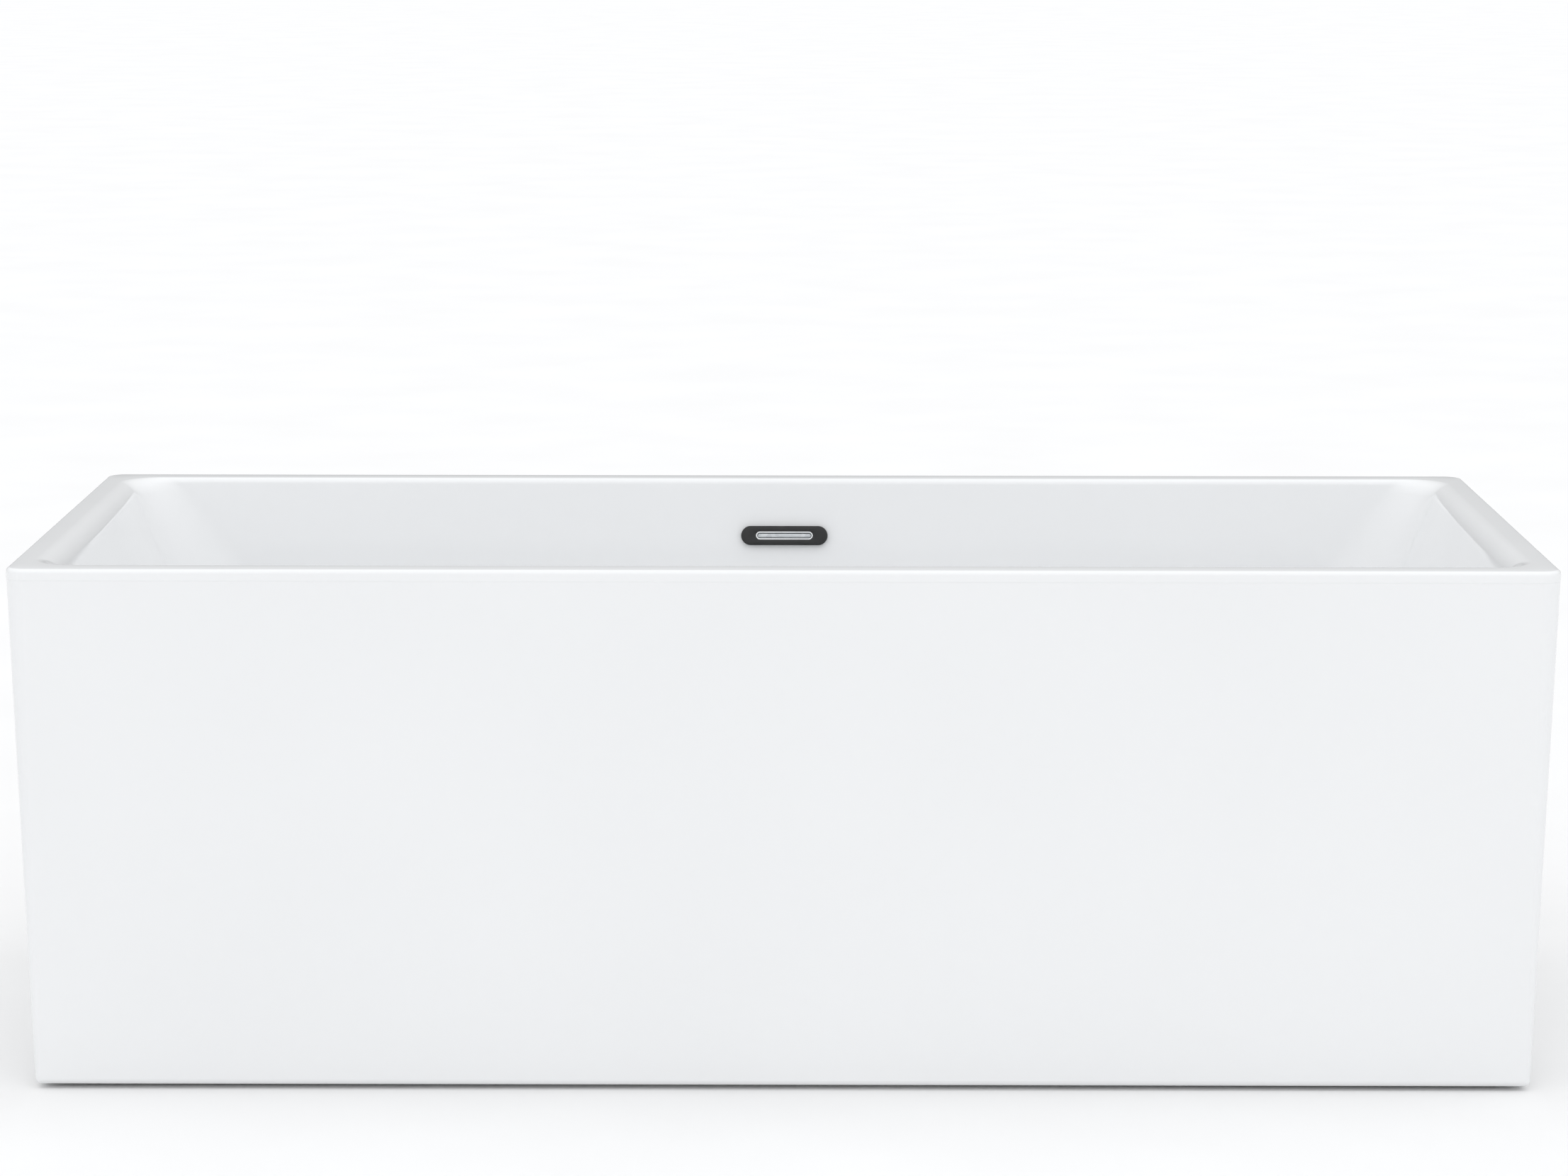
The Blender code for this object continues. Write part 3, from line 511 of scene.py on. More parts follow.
class WallProfile:
    """How far the basin's inner face stands in from the outer face, at each height."""

    def __init__(self, flat, fillet, slope, floor_fillet):
        self.start = RIM_EDGE_RADIUS + flat
        self.fillet, self.slope, self.floor_fillet = fillet, slope, floor_fillet
        self.wall_top = HEIGHT - fillet * (1 - math.sin(slope))
        self.wall_inset = self.start + fillet * math.cos(slope)
        self.wall_bottom = FLOOR + floor_fillet * (1 - math.sin(slope))
        run = (self.wall_top - self.wall_bottom) * math.tan(slope)
        self.floor_inset = self.wall_inset + run + floor_fillet * math.cos(slope)

    def inset(self, z):
        if z >= self.wall_top:
            cosine = max(-1.0, 1 - (HEIGHT - z) / self.fillet)
            return self.start + self.fillet * math.sqrt(1 - cosine * cosine)
        if z >= self.wall_bottom:
            return self.wall_inset + (self.wall_top - z) * math.tan(self.slope)
        sine = min(1.0, (FLOOR + self.floor_fillet - z) / self.floor_fillet)
        return self.floor_inset - self.floor_fillet * math.sqrt(1 - sine * sine)


END_WALL = WallProfile(END_FLAT, END_FILLET, END_SLOPE, END_FLOOR_FILLET)
SIDE_WALL = WallProfile(SIDE_FLAT, SIDE_FILLET, SIDE_SLOPE, SIDE_FLOOR_FILLET)


def side_shares(count):
    """Points on a straight side that crowd towards its middle, where the drain is."""
    return [math.copysign(abs(k / (count + 1)) ** 1.5, k) for k in range(-count, count + 1)]


def basin_outline(half_x, half_y, radius):
    return rounded_rectangle(half_x, half_y, radius, side_shares(24), side_shares(7))


def basin_level(z):
    depth = (HEIGHT - z) / (HEIGHT - FLOOR)
    radius = INNER_CORNER_TOP + INNER_CORNER_GROWTH * depth ** 0.6
    half_x = LENGTH / 2 - END_WALL.inset(z)
    half_y = WIDTH / 2 - SIDE_WALL.inset(z)
    return at_height(basin_outline(half_x, half_y, radius), z)


def wall_heights(rim_steps=26, wall_steps=12, floor_steps=18):
    """Heights of the basin's loops, close together where the wall curves."""
    rim_drop = HEIGHT - END_WALL.wall_top
    floor_rise = SIDE_WALL.wall_bottom - FLOOR
    low, high = FLOOR + floor_rise, HEIGHT - rim_drop
    heights = [HEIGHT - rim_drop * (1 - math.cos(math.pi / 2 * k / rim_steps))
               for k in range(rim_steps + 1)]
    heights += [high - (high - low) * k / wall_steps for k in range(1, wall_steps)]
    heights += [FLOOR + floor_rise * (1 - math.sin(math.pi / 2 * k / floor_steps))
                for k in range(floor_steps + 1)]
    return heights


def rim_loops(steps=10):
    """The lip that hangs from the rim, then the rounded outer edge up to the flat rim."""
    loops = [at_height(basin_outline(LENGTH / 2, WIDTH / 2, RIM_CORNER_RADIUS), LIP_BOTTOM)]
    for inset, rise in arc(RIM_EDGE_RADIUS, 0, RIM_EDGE_RADIUS, 180, 90, steps):
        outline = basin_outline(LENGTH / 2 - inset, WIDTH / 2 - inset, RIM_CORNER_RADIUS - inset)
        loops.append(at_height(outline, HEIGHT - RIM_EDGE_RADIUS + rise))
    return loops


def round_drain(loop, radius, z):
    """The points of loop moved straight towards the drain, onto a circle round it."""
    centre = Vector((DRAIN.x, DRAIN.y, z))
    rays = [(Vector((p.x, p.y, z)) - centre).normalized() for p in loop]
    return [centre + ray * radius for ray in rays]


def floor_loops(edge, steps=14, step_edges=6):
    """The floor falls from its edge to the drain, then steps down into the recess."""
    mouth = round_drain(edge, RECESS_RADIUS, DRAIN_LEVEL)
    loops = []
    for k in range(1, steps + 1):
        share = k / steps
        loop = [outer.lerp(inner, share) for outer, inner in zip(edge, mouth)]
        for point in loop:
            point.z = FLOOR - FLOOR_FALL * share ** 1.5
        loops.append(loop)
    for k in range(1, 2 * step_edges + 1):
        share = k / (2 * step_edges)
        drop = RECESS_DEPTH * (1 - math.cos(math.pi * share)) / 2
        loops.append(round_drain(edge, RECESS_RADIUS - RECESS_DEPTH * share, DRAIN_LEVEL - drop))
    loops.append(round_drain(edge, DRAIN_HOLE, RECESS_FLOOR))
    return loops


def overflow_frame():
    """Frame on the back wall's inner face: X along the tub, Y up the wall, Z out of the wall."""
    z = HEIGHT - OVERFLOW_DROP
    y = WIDTH / 2 - SIDE_WALL.inset(z)
    up = Vector((0, math.sin(SIDE_SLOPE), math.cos(SIDE_SLOPE)))
    out = Vector((0, -math.cos(SIDE_SLOPE), math.sin(SIDE_SLOPE)))
    matrix = Matrix((Vector((1, 0, 0)), up, out)).transposed().to_4x4()
    matrix.translation = Vector((0, y, z))
    return matrix


def make_basin():
    walls = [basin_level(z) for z in wall_heights()]
    bm = bmesh.new()
    skin(bm, rim_loops() + walls + floor_loops(walls[-1]))
    basin = finish_piece("basin_shell_fine", bm, "basin_shell", [ACRYLIC, GLASS_FIBRE])
    thickness = basin.modifiers.new("thickness", "SOLIDIFY")
    thickness.thickness = SHELL
    thickness.offset = -1
    thickness.use_even_offset = True
    thickness.material_offset = 1
    apply_modifiers(basin)
    hole = [at_height(stadium(*WALL_SLOT_HALF), z) for z in (-0.03, 0.03)]
    combine(basin, loose(hole, overflow_frame()), "DIFFERENCE")


# ---------------------------------------------------------------- skirt and bond

def taper(z):
    """How far the skirt's outer face stands in from the rim's, at a height."""
    return SKIRT_TAPER * (HEIGHT - z) / (HEIGHT - SKIRT_LIFT)


def swept_loops(section):
    loops = []
    for inset, z in section:
        radius = max(RIM_CORNER_RADIUS - inset, 0.003)
        outline = rounded_rectangle(LENGTH / 2 - inset, WIDTH / 2 - inset, radius)
        loops.append(at_height(outline, z))
    return loops


def skirt_outside():
    """Outer face of the skirt from under the lip, round the rolled bottom edge, as (inset, height)."""
    shelf = LIP_BOTTOM - BOND
    base = taper(SKIRT_LIFT)
    curl = arc(base + SKIRT_BOTTOM_RADIUS, SKIRT_LIFT + SKIRT_BOTTOM_RADIUS,
               SKIRT_BOTTOM_RADIUS, 180, 270, 12)
    return [(taper(shelf), shelf)] + curl + [(base + SKIRT_RETURN, SKIRT_LIFT)]


def skirt_inside():
    """Inner face from the bottom return back up to the flange under the rim."""
    shelf = LIP_BOTTOM - BOND
    step = SHELL + 2 * GAP
    flange_top = HEIGHT - SHELL - GAP
    chamfer = 0.0015
    base = taper(SKIRT_LIFT)
    curl = arc(base + SKIRT_BOTTOM_RADIUS, SKIRT_LIFT + SKIRT_BOTTOM_RADIUS,
               SKIRT_BOTTOM_RADIUS - SHELL, 270, 180, 12)
    rise = [(taper(shelf - 0.010) + SHELL, shelf - 0.010), (step + SHELL, shelf - 0.004),
            (step + SHELL, flange_top - SHELL)]
    flange = [(step + SKIRT_FLANGE, flange_top - SHELL), (step + SKIRT_FLANGE, flange_top),
              (step + chamfer, flange_top), (step, flange_top - chamfer), (step, shelf)]
    return [(base + SKIRT_RETURN, SKIRT_LIFT + SHELL)] + curl + rise + flange


def make_skirt():
    outside, inside = skirt_outside(), skirt_inside()
    bm = bmesh.new()
    _, faces = skin(bm, swept_loops(outside + inside), ring=True)
    per_row = len(faces) // len(outside + inside)
    for face in faces[per_row * len(outside):]:
        face.material_index = 1
    finish_piece("outer_skirt_fine", bm, "outer_skirt", [ACRYLIC, GLASS_FIBRE])


def make_bond():
    """Sealant that fills the joint under the lip, wiped flush with both faces."""
    low, high = LIP_BOTTOM - BOND - 0.0001, LIP_BOTTOM + 0.0001
    section = [(taper(low), low), (0.00002, high), (SHELL, high), (SHELL, low)]
    bm = bmesh.new()
    skin(bm, swept_loops(section), ring=True)
    finish_piece("rim_bond_fine", bm, "rim_bond_bead", [SEALANT])


# ---------------------------------------------------------------- board and frame

def make_board():
    """Board with slightly broken edges and a round hole for the waste."""
    low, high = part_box("base_board")
    half_x, half_y = high.x, high.y
    edge = 0.0008

    def outside(inset, z):
        outline = rounded_rectangle(half_x - inset, half_y - inset, 0.030 - inset,
                                    side_shares(12), side_shares(4))
        return at_height(outline, z)

    loops = [outside(edge, low.z), outside(0, low.z + edge), outside(0, high.z - edge),
             outside(edge, high.z)]
    rim = outside(0, high.z)
    loops += [round_drain(rim, BOARD_HOLE + edge, high.z), round_drain(rim, BOARD_HOLE, high.z - edge),
              round_drain(rim, BOARD_HOLE, low.z + edge), round_drain(rim, BOARD_HOLE + edge, low.z)]
    solid("base_board", loops, ring=True)


def make_tube(node, half_length, place):
    """Rolled square tube: round corners outside and in, and deburred ends."""
    half = TUBE / 2
    bore, bore_corner = half - TUBE_WALL, TUBE_CORNER - TUBE_WALL
    section = [(half, TUBE_CORNER, -half_length), (half, TUBE_CORNER, half_length),
               (bore, bore_corner, half_length), (bore, bore_corner, -half_length)]
    loops = [at_height(rounded_rectangle(size, size, corner, steps=8), z)
             for size, corner, z in eased(section, 0.0003, steps=2)]
    solid(node, loops, place, ring=True)


def make_frame():
    for name in frame["nodes"]:
        if name.startswith("frame_rail"):
            make_tube(name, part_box(name)[1].x, along_x(0, middle(name).y, middle(name).z))
        elif name.startswith("frame_cross"):
            make_tube(name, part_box(name)[1].y, along_y(middle(name).x, 0, middle(name).z))
        elif name.startswith("frame_screw"):
            make_frame_screw(name)
        elif name.startswith("skirt_bracket"):
            make_bracket(name)


def make_frame_screw(node):
    """Button-head screw with a hexagon socket, seen from underneath."""
    low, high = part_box(node)
    socket = [at_height(nut_outline(0.0040, 0.0030), z) for z in (low.z + 0.0020, low.z)]
    profile = [(0.0030, low.z), (0.0046, low.z), (0.0065, low.z + 0.0022), (0.0065, low.z + 0.0035),
               (0.0030, low.z + 0.0035), (0.0030, high.z - 0.004), (0.0005, high.z)]
    loops = socket + turned_loops(profile, 0.0008, ring=False)
    solid(node, loops, moved(middle(node).x, middle(node).y))


def make_bracket(node):
    """Folded plate from a cross tube's end up the leaning inner face of the skirt."""
    low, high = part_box(node)
    sign = math.copysign(1, middle(node).y)
    plate, inner_end = 0.0025, min(abs(low.y), abs(high.y))
    foot_y, head_y = (WIDTH / 2 - taper(z) - SHELL - 2 * GAP for z in (low.z, high.z))
    section = [(inner_end, low.z), (foot_y, low.z), (head_y, high.z), (head_y - plate, high.z),
               (foot_y - plate, low.z + plate), (inner_end, low.z + plate)]
    edge = 0.0003
    loops = [[Vector((x, sign * y, z)) for y, z in eased(section, 0.0011 if x in (low.x, high.x)
                                                           else 0.0008)]
             for x in (low.x, low.x + edge, high.x - edge, high.x)]
    solid(node, loops)


# ---------------------------------------------------------------- screw feet

def nut_outline(flats, limit, turn=0.0, steps=ROUND_STEPS):
    """A hexagon whose corners are cut off by a circle of radius limit."""
    points = []
    for x, y in circle(1.0, steps):
        off = (math.degrees(math.atan2(y, x)) - turn) % 60 - 30
        radius = min(flats / 2 / math.cos(math.radians(off)), limit)
        points.append((x * radius, y * radius))
    return points


def hexagon_loops(low, high, turn=0.0, steps=ROUND_STEPS):
    """Outside of a hexagon from low to high, with 30 degree chamfers at both ends."""
    drops = (0.0, 0.0003, 0.0006, 0.0009)
    levels = [(low + drop, drop) for drop in drops] + [(high - drop, drop) for drop in reversed(drops)]
    return [at_height(nut_outline(HEX_FLATS, HEX_FLATS / 2 + drop / math.tan(math.radians(30)),
                                  turn, steps), z) for z, drop in levels]


def make_nut(node):
    low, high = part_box(node)
    bore, edge = STUD_RADIUS + GAP, 0.0006
    inside = [(bore + edge, high.z), (bore, high.z - edge), (bore, low.z + edge), (bore + edge, low.z)]
    loops = hexagon_loops(low.z, high.z, 15) + [at_height(circle(r), z) for r, z in inside]
    solid(node, loops, moved(middle(node).x, middle(node).y), ring=True)


def thread_loops(low, high):
    """A right-hand screw thread as loops with eight steps to each turn."""
    count = round((high - low) / THREAD_PITCH * 8)
    loops = []
    for k in range(count + 1):
        z = low + (high - low) * k / count
        run = min(1.0, (z - low) / THREAD_PITCH, (high - z) / THREAD_PITCH)
        loop = []
        for x, y in circle(1.0, STUD_STEPS):
            phase = z / THREAD_PITCH - math.atan2(y, x) / (2 * math.pi)
            wave = 0.5 + 0.5 * math.cos(2 * math.pi * phase)
            radius = STUD_RADIUS - THREAD_DEPTH * (1 - wave * run)
            loop.append(Vector((x * radius, y * radius, z)))
        loops.append(loop)
    return loops


def make_foot(name):
    """Pad with a ball socket, and a threaded stud with a spanner hexagon."""
    low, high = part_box(name + "_pad")
    place = moved(middle(name + "_pad").x, middle(name + "_pad").y)
    radius, top = (high.x - low.x) / 2, high.z
    pad = [(0.0030, 0.0041), (0.0045, 0.0041), (0.0045, top), (0.0100, top), (radius - 0.002, 0.0060),
           (radius, 0.0040), (radius, 0.0), (0.0200, 0.0), (0.0195, 0.0007), (0.0165, 0.0007),
           (0.0160, 0.0), (0.0100, 0.0)]
    turned(name + "_pad", pad, place, ring=False)

    low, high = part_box(name + "_stud")
    hexagon_low, hexagon_high = top + GAP, top + 0.0085
    neck = [(0.0030, low.z), (0.0042, low.z + 0.0012), (0.0042, hexagon_low)]
    loops = [at_height(circle(r, STUD_STEPS), z) for r, z in neck]
    loops += hexagon_loops(hexagon_low, hexagon_high, 0, STUD_STEPS)
    loops += thread_loops(hexagon_high, high.z - 0.0006)
    loops.append(at_height(circle(STUD_RADIUS - 2 * THREAD_DEPTH, STUD_STEPS), high.z))
    solid(name + "_stud", loops, place)
    make_nut(name + "_lock_nut")
    make_nut(name + "_weld_nut")


def make_feet():
    for name in frame["nodes"]:
        if name.endswith("_pad"):
            make_foot(name.removesuffix("_pad"))


# ---------------------------------------------------------------- waste and trap

def make_waste():
    """The push waste in the drain: flange, cap, body and spring."""
    here = moved(DRAIN.x, DRAIN.y)
    low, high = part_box("waste_cap")
    radius, under = (high.x - low.x) / 2, low.z
    dome = [(radius * math.cos(t), under + 0.0030 + (high.z - under - 0.0030) * math.sin(t))
            for t in (math.radians(4 * k) for k in range(22))]
    solid("waste_cap", turned_loops([(0.0300, under), (radius - 0.001, under)], ring=False)
          + [at_height(circle(r), z) for r, z in [(radius, under + 0.0012), *dome]], here)

    low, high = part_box("waste_flange")
    top, tail = high.z, low.z
    rim = (high.x - low.x) / 2
    flange = turned("waste_flange", [
        (0.0225, tail), (0.0225, top - 0.0024), (rim, top - 0.0024), (rim, top - 0.0012),
        (rim - 0.0015, top), (0.0235, top), (0.0190, top - 0.0042), (0.0190, tail)], here)
    boss_low, boss_high = 0.138, 0.148
    for turn in (0, 90):
        bar = rounded_rectangle(0.0200, 0.0020, 0.0006, steps=4)
        combine(flange, loose([at_height(bar, boss_low + 0.002), at_height(bar, boss_high - 0.002)],
                              here @ Matrix.Rotation(math.radians(turn), 4, "Z")), "UNION")
    boss = [at_height(circle(0.0100), z) for z in (boss_low, boss_high)]
    bore = [at_height(circle(0.0065), z) for z in (boss_low - 0.008, boss_high + 0.008)]
    combine(flange, loose(boss, here), "UNION")
    combine(flange, loose(bore, here), "DIFFERENCE")
    make_tee(here)
    make_spring(here)


def make_tee(here):
    """Waste body with a stiffened top plate and the spigot for the overflow hose."""
    low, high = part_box("waste_tee")
    outside = [(0.0200, low.z), (0.0270, low.z), (0.0270, high.z - 0.003), (0.0360, high.z - 0.003),
               (0.0360, high.z), (0.0200, high.z)]
    tee = turned("waste_tee", outside, here, ring=False)
    spigot = along_y(DRAIN.x, DRAIN.y, PORT_HEIGHT)
    length = PORT_END - DRAIN.y
    port = [(0.0100, 0.0), (SPIGOT_RADIUS, 0.0), (SPIGOT_RADIUS, length), (0.0100, length)]
    combine(tee, loose(turned_loops(port, ring=False), spigot), "UNION")
    bores = (([at_height(circle(0.0230), z) for z in (low.z - 0.01, high.z + 0.01)], here),
             ([at_height(circle(SPIGOT_BORE), z) for z in (0.002, length + 0.01)], spigot))
    for bore, place in bores:
        combine(tee, loose(bore, place), "DIFFERENCE")


def make_spring(here):
    """Compression spring round the plunger. In the real waste it shortens as the plug goes down; this mesh
    keeps one length.
    """
    low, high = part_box("waste_spring")
    wire, radius, turns, per_turn = 0.0006, 0.0095, 4, 40
    loops = []
    for k in range(turns * per_turn + 1):
        angle = 2 * math.pi * k / per_turn
        out = Vector((math.cos(angle), math.sin(angle), 0))
        rise = (high.z - low.z - 2 * wire) * k / (turns * per_turn)
        centre = out * radius + Vector((0, 0, low.z + wire + rise))
        loops.append([centre + out * x + Vector((0, 0, y)) for x, y in circle(wire, 12)])
    spring = solid("waste_spring", loops, here)
    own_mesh(spring)


def ribbed(radius, count=28, depth=0.0012):
    """A circle with finger grips if it is the widest part of a nut."""
    if radius < 0.0325:
        return circle(radius)
    points = []
    for x, y in circle(1.0):
        dip = (0.5 + 0.5 * math.cos(count * math.atan2(y, x))) ** 3
        points.append((x * (radius - depth * dip), y * (radius - depth * dip)))
    return points


def make_trap():
    """Shallow drum trap with its outlet pipe, and the grooved union nut above it."""
    here = moved(DRAIN.x, DRAIN.y)
    low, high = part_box("trap_body")
    drum_top, wall = 0.046, 0.003
    profile = [(0.0200, low.z), (0.0410, low.z), (0.0450, low.z + 0.004), (0.0450, drum_top),
               (0.0232, drum_top), (0.0232, high.z - 0.006), (0.0268, high.z - 0.006),
               (0.0268, high.z), (0.0200, high.z), (0.0200, drum_top - wall),
               (0.0420, drum_top - wall), (0.0420, low.z + wall + 0.003),
               (0.0390, low.z + wall), (0.0200, low.z + wall)]
    trap = turned("trap_body", profile, here, ease=0.0012, ring=False)
    pipe = along_x(0, DRAIN.y, 0.030)
    outside = [(0.0130, 0.0425), (0.0160, 0.0425), (0.0160, high.x), (0.0130, high.x)]
    combine(trap, loose(turned_loops(outside, ring=False), pipe), "UNION")
    bore = [at_height(circle(0.0135), z) for z in (0.035, high.x + 0.01)]
    combine(trap, loose(bore, pipe), "DIFFERENCE")
    turned("trap_union_nut", [(0.0330, 0.0500), (0.0330, 0.0800), (0.0275, 0.0800),
                              (0.0275, 0.0590), (0.0240, 0.0590), (0.0240, 0.0500)],
           here, outline=ribbed)


# ---------------------------------------------------------------- overflow

def slot_loops(section, ease):
    """Loops of a stadium-shaped piece from (half length, half height, depth) points."""
    return [at_height(stadium(half_x, half_y), z) for half_x, half_y, z in eased(section, ease)]


def grown(half, grow, z):
    return half[0] + grow, half[1] + grow, z


def make_overflow():
    here = overflow_frame()
    top, sheet, wall = COVER_PROUD, 0.0015, 0.0008
    cover = [grown(COVER_HALF, 0, GAP), grown(COVER_HALF, 0, top), grown(SLOT_HALF, 0, top),
             grown(SLOT_HALF, 0, top - sheet), grown(COVER_HALF, -sheet, top - sheet),
             grown(COVER_HALF, -sheet, GAP)]
    solid("overflow_cover", slot_loops(cover, 0.0007), here, ring=True)
    lip = 0.0005
    liner = [grown(SLOT_HALF, -GAP, -top), grown(SLOT_HALF, -GAP, top), grown(SLOT_HALF, lip, top),
             grown(SLOT_HALF, lip, top + lip), grown(SLOT_HALF, -GAP - wall, top + lip),
             grown(SLOT_HALF, -GAP - wall, -top)]
    solid("overflow_liner", slot_loops(liner, 0.0003), here, ring=True)
    make_strainer(here, top - 0.0030)
    make_overflow_body(here)


def make_strainer(here, z):
    """Bowed satin strip inside the slot. The water runs off past its upper and lower edges."""
    half = (SLOT_HALF[0] - 0.0014, SLOT_HALF[1] - 0.0018)
    rise, steps = 0.0009, 8
    loops = [at_height(stadium(*half), z - 0.0008)]
    for k in range(steps):
        share = k / steps
        outline = stadium(half[0] - half[1] * share, half[1] * (1 - share))
        loops.append(at_height(outline, z + rise * math.sqrt(1 - (1 - share) ** 2)))
    bm = bmesh.new()
    fill(bm, loops, ring=False)
    bmesh.ops.recalc_face_normals(bm, faces=bm.faces[:])
    mesh = bpy.data.meshes.new("overflow_strainer")
    bm.to_mesh(mesh)
    bm.free()
    mesh.transform(here)
    mesh.shade_smooth()
    mesh.set_sharp_from_angle(angle=math.radians(50))
    mesh.materials.append(ZINC)
    strainer = bpy.data.objects.new("overflow_strainer", mesh)
    bpy.context.scene.collection.objects.link(strainer)
    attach(strainer, BODY)


def make_overflow_body(here):
    """Chamber behind the wall, open at the slot, with a spigot that points down the wall."""
    front, back = -SHELL - 3 * GAP - 0.0017, -0.0370
    flange = [at_height(stadium(0.052, 0.011), z) for z in (front - 0.0030, front)]
    body = solid("overflow_body", flange, here)
    chamber = [at_height(stadium(0.0380 - inset, 0.0100 - inset), z)
               for inset, z in ((0.0010, back), (0, back + 0.0010), (0, front - 0.0010))]
    down = here @ moved(0, 0, -SPIGOT_DEPTH) @ Matrix.Rotation(math.radians(90), 4, "X")
    spigot = [(0.0100, 0.0), (SPIGOT_RADIUS, 0.0), (SPIGOT_RADIUS, 0.0360), (0.0100, 0.0360)]
    boss = [at_height(circle(0.0050), z) for z in (front - 0.0140, front - 0.0010)]
    extras = [(chamber, here), (turned_loops(spigot, ring=False), down)]
    extras += [(boss, here @ moved(x, 0)) for x in (-OVERFLOW_SCREW_X, OVERFLOW_SCREW_X)]
    for loops, place in extras:
        combine(body, loose(loops, place), "UNION")
    hollow = [at_height(stadium(0.0348, 0.0075), z) for z in (back + 0.0025, front + 0.01)]
    bore = [at_height(circle(SPIGOT_BORE), z) for z in (0.002, 0.05)]
    screw = [at_height(circle(0.0020), z) for z in (-0.0190, 0.0100)]
    holes = [(hollow, here), (bore, down)]
    holes += [(screw, here @ moved(x, 0)) for x in (-OVERFLOW_SCREW_X, OVERFLOW_SCREW_X)]
    for loops, place in holes:
        combine(body, loose(loops, place), "DIFFERENCE")


# ---------------------------------------------------------------- overflow hose

def hose_route(step=0.0008):
    """Closely spaced points in the plane x = 0: down behind the wall, one bend, then to the port."""
    place = overflow_frame()
    start = place @ Vector((0, -0.0130, -SPIGOT_DEPTH))
    down = (place.to_3x3() @ Vector((0, -1, 0))).normalized()
    radius, end = 0.100, Vector((0, DRAIN.y + 0.033, PORT_HEIGHT))
    meet = start + down * ((start.z - PORT_HEIGHT) / -down.z)
    turn = math.radians(90) - SIDE_SLOPE
    bend_end = meet + Vector((0, -radius * math.tan(turn / 2), 0))
    bend_start = meet - down * (radius * math.tan(turn / 2))
    centre = bend_end + Vector((0, 0, radius))
    points = []
    for first, last in ((start, bend_start), (None, None), (bend_end, end)):
        length = radius * turn if first is None else (last - first).length
        count = max(2, round(length / step))
        for k in range(count):
            share = k / count
            if first is None:
                spin = Matrix.Rotation(turn * (1 - share), 3, "X")
                points.append(centre + spin @ (bend_end - centre))
            else:
                points.append(first.lerp(last, share))
    return points + [end]


def hose_loops(points, radii, steps=36):
    """Rings square to the route, each with its own radius."""
    loops = []
    for k, radius in enumerate(radii):
        before, after = points[max(k - 1, 0)], points[min(k + 1, len(points) - 1)]
        side = Vector((1, 0, 0))
        up = side.cross((after - before).normalized())
        loops.append([points[k] + side * x + up * y for x, y in circle(radius, steps)])
    return loops


def make_hose():
    """Corrugated hose with smooth cuffs, and a worm-drive clip round each cuff."""
    pitch, depth, cuff = 0.0064, 0.0017, 0.018
    points = hose_route()
    run = [0.0]
    for before, after in zip(points, points[1:]):
        run.append(run[-1] + (after - before).length)
    radii = []
    for reach in run:
        inside = min(reach, run[-1] - reach) - cuff
        wave = 0.5 - 0.5 * math.cos(2 * math.pi * inside / pitch)
        radii.append(HOSE_RADIUS - depth * wave ** 2 * (inside > 0))
    outer = hose_loops(points, radii)
    inner = [loop for loop in hose_loops(points, [HOSE_BORE] * len(points))[::-6]]
    solid("overflow_hose", outer + inner, ring=True)
    for node, index in (("overflow_hose_clip_top", 0), ("overflow_hose_clip_bottom", -1)):
        inward = points[8] if index == 0 else points[-9]
        along = (inward - points[index]).normalized()
        side = Vector((1, 0, 0))
        turn = Matrix((side, along.cross(side), along)).transposed().to_4x4()
        make_clip(node, Matrix.Translation(points[index] + along * 0.004) @ turn)


def make_clip(node, place):
    """Band with rolled edges, the housing of its worm, and the worm's slotted hexagon head."""
    inner, outer, width = HOSE_RADIUS + GAP, HOSE_RADIUS + 0.0012, 0.009
    band = turned(node, [(outer, 0.0), (outer, width), (inner, width), (inner, 0.0)], place, ease=0.0004)
    middle_x, middle_z = outer + 0.0024, width / 2
    box = [at_height(rounded_rectangle(x, y, 0.0012, steps=5), z)
           for x, y, z in ((0.0022, 0.0054, 0.0015), (0.0028, 0.0060, 0.0021),
                           (0.0028, 0.0060, width - 0.0021), (0.0022, 0.0054, width - 0.0015))]
    combine(band, loose(box, place @ moved(middle_x, 0)), "UNION")
    head = place @ moved(middle_x, 0, middle_z) @ Matrix.Rotation(math.radians(-90), 4, "X")
    worm = [at_height(circle(0.0018, 48), z) for z in (0.0050, 0.0065)]
    hexagon = [at_height(nut_outline(0.0055, limit, 0, 48), z)
               for limit, z in ((0.0028, 0.0062), (0.0031, 0.0065), (0.0031, 0.0092), (0.0028, 0.0095))]
    slot = [at_height(rounded_rectangle(0.0040, 0.0004, 0.0002, steps=2), z) for z in (0.0085, 0.0105)]
    combine(band, loose(worm, head), "UNION")
    combine(band, loose(hexagon, head), "UNION")
    combine(band, loose(slot, head), "DIFFERENCE")


# ---------------------------------------------------------------- camera, lights and floor

def make_camera():
    """The view of the whole front, with the basin seen over the rim."""
    camera = bpy.data.cameras.new("camera")
    camera.lens = LENS_MM
    camera.sensor_width = SENSOR_MM
    camera.clip_end = CAMERA_REACH
    view = bpy.data.objects.new("camera", camera)
    bpy.context.scene.collection.objects.link(view)
    level = math.radians(90)
    turn = (Matrix.Rotation(CAMERA_YAW, 4, "Z") @ Matrix.Rotation(level - CAMERA_DOWN, 4, "X")
            @ Matrix.Rotation(CAMERA_ROLL, 4, "Z"))
    view.matrix_world = Matrix.Translation(CAMERA_PLACE) @ turn
    bpy.context.scene.camera = view


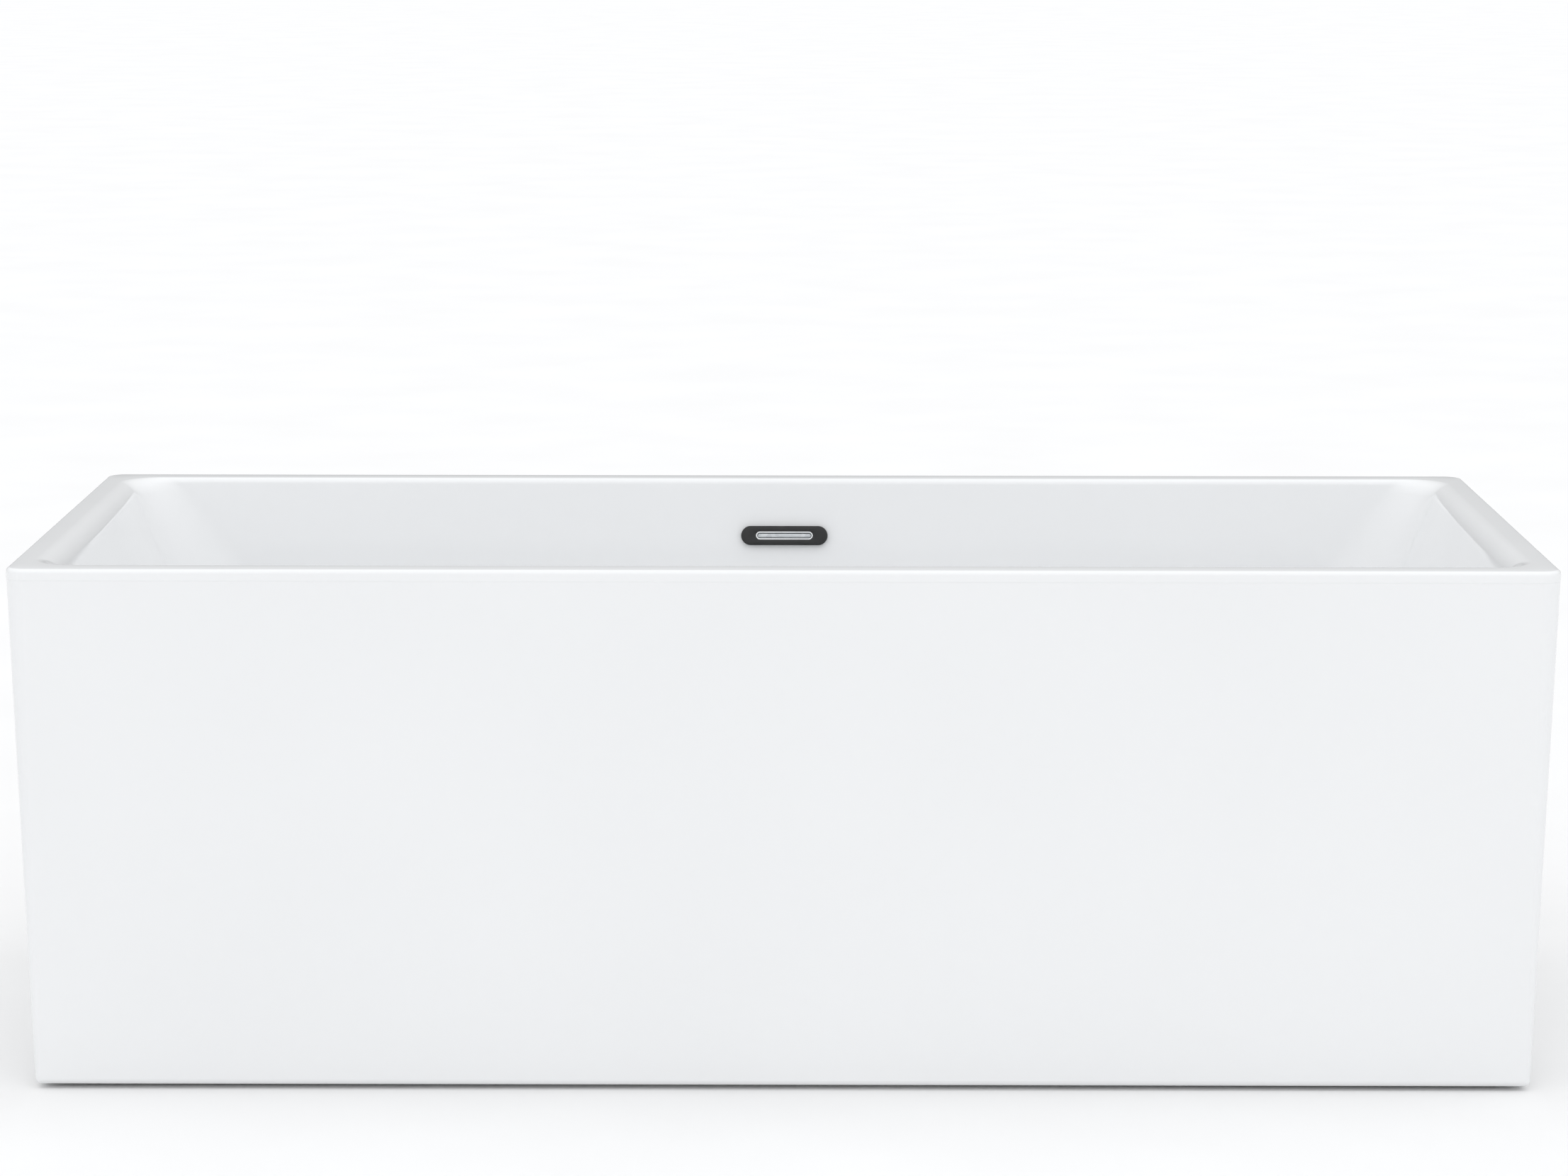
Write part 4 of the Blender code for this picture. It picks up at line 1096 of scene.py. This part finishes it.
def make_floor():
    """A wide pale matt floor."""
    bm = bmesh.new()
    rows, _ = skin(bm, [at_height(circle(radius, 64), 0.0) for radius in FLOOR_RINGS])
    bm.faces.new(rows[0])
    bmesh.ops.recalc_face_normals(bm, faces=bm.faces[:])
    mesh = bpy.data.meshes.new("studio_floor")
    bm.to_mesh(mesh)
    bm.free()
    shader = Shader("studio_floor", (0.86, 0.86, 0.86), 0.7)
    shader.set("Specular IOR Level", 0.0)
    tone = shader.spread(shader.noise(3.0, 2.0), 0.0, 1.0)
    shader.colour_by(tone, (0.85, 0.85, 0.85), (0.87, 0.87, 0.87))
    mesh.materials.append(shader.material)
    floor = bpy.data.objects.new("studio_floor", mesh)
    bpy.context.scene.collection.objects.link(floor)


def make_world():
    """White beyond the floor, and soft light that is stronger from above and from the front."""
    world = bpy.data.worlds.new("studio")
    world.use_nodes = True
    bpy.context.scene.world = world
    tree = world.node_tree
    lit = tree.nodes["Background"]
    split = tree.nodes.new("ShaderNodeSeparateXYZ")
    tree.links.new(tree.nodes.new("ShaderNodeTexCoord").outputs["Generated"], split.inputs[0])
    rise = tree.nodes.new("ShaderNodeMath")
    rise.operation = "ABSOLUTE"
    tree.links.new(split.outputs["Z"], rise.inputs[0])
    direction = tree.nodes.new("ShaderNodeCombineXYZ")
    tree.links.new(split.outputs["X"], direction.inputs["X"])
    tree.links.new(split.outputs["Y"], direction.inputs["Y"])
    tree.links.new(rise.outputs[0], direction.inputs["Z"])
    slope = tree.nodes.new("ShaderNodeVectorMath")
    slope.operation = "DOT_PRODUCT"
    slope.inputs[1].default_value = SKY_SLOPE
    tree.links.new(direction.outputs[0], slope.inputs[0])
    total = tree.nodes.new("ShaderNodeMath")
    total.operation = "ADD"
    total.inputs[1].default_value = SKY_BASE
    tree.links.new(slope.outputs["Value"], total.inputs[0])
    tree.links.new(total.outputs[0], lit.inputs["Strength"])
    white = tree.nodes.new("ShaderNodeBackground")
    choose = tree.nodes.new("ShaderNodeMixShader")
    seen = tree.nodes.new("ShaderNodeLightPath").outputs["Is Camera Ray"]
    white.inputs["Strength"].default_value = BACKDROP
    white.inputs["Color"].default_value = (1.0, 1.0, 1.0, 1.0)
    lit.inputs["Color"].default_value = SKY_TINT
    tree.links.new(seen, choose.inputs["Fac"])
    tree.links.new(lit.outputs[0], choose.inputs[1])
    tree.links.new(white.outputs[0], choose.inputs[2])
    tree.links.new(choose.outputs[0], tree.nodes["World Output"].inputs["Surface"])


def make_studio():
    make_camera()
    make_floor()
    make_world()
    bpy.context.scene.view_settings.view_transform = "Standard"


# ---------------------------------------------------------------- the whole object

def main():
    make_studio()
    make_basin()
    make_skirt()
    make_bond()
    make_board()
    make_frame()
    make_feet()
    make_waste()
    make_trap()
    make_overflow()
    make_hose()
    for name, node in frame["nodes"].items():
        node.data.materials.clear()
        node.data.materials.append(SLOTS[NODE_SLOT[name]])


main()
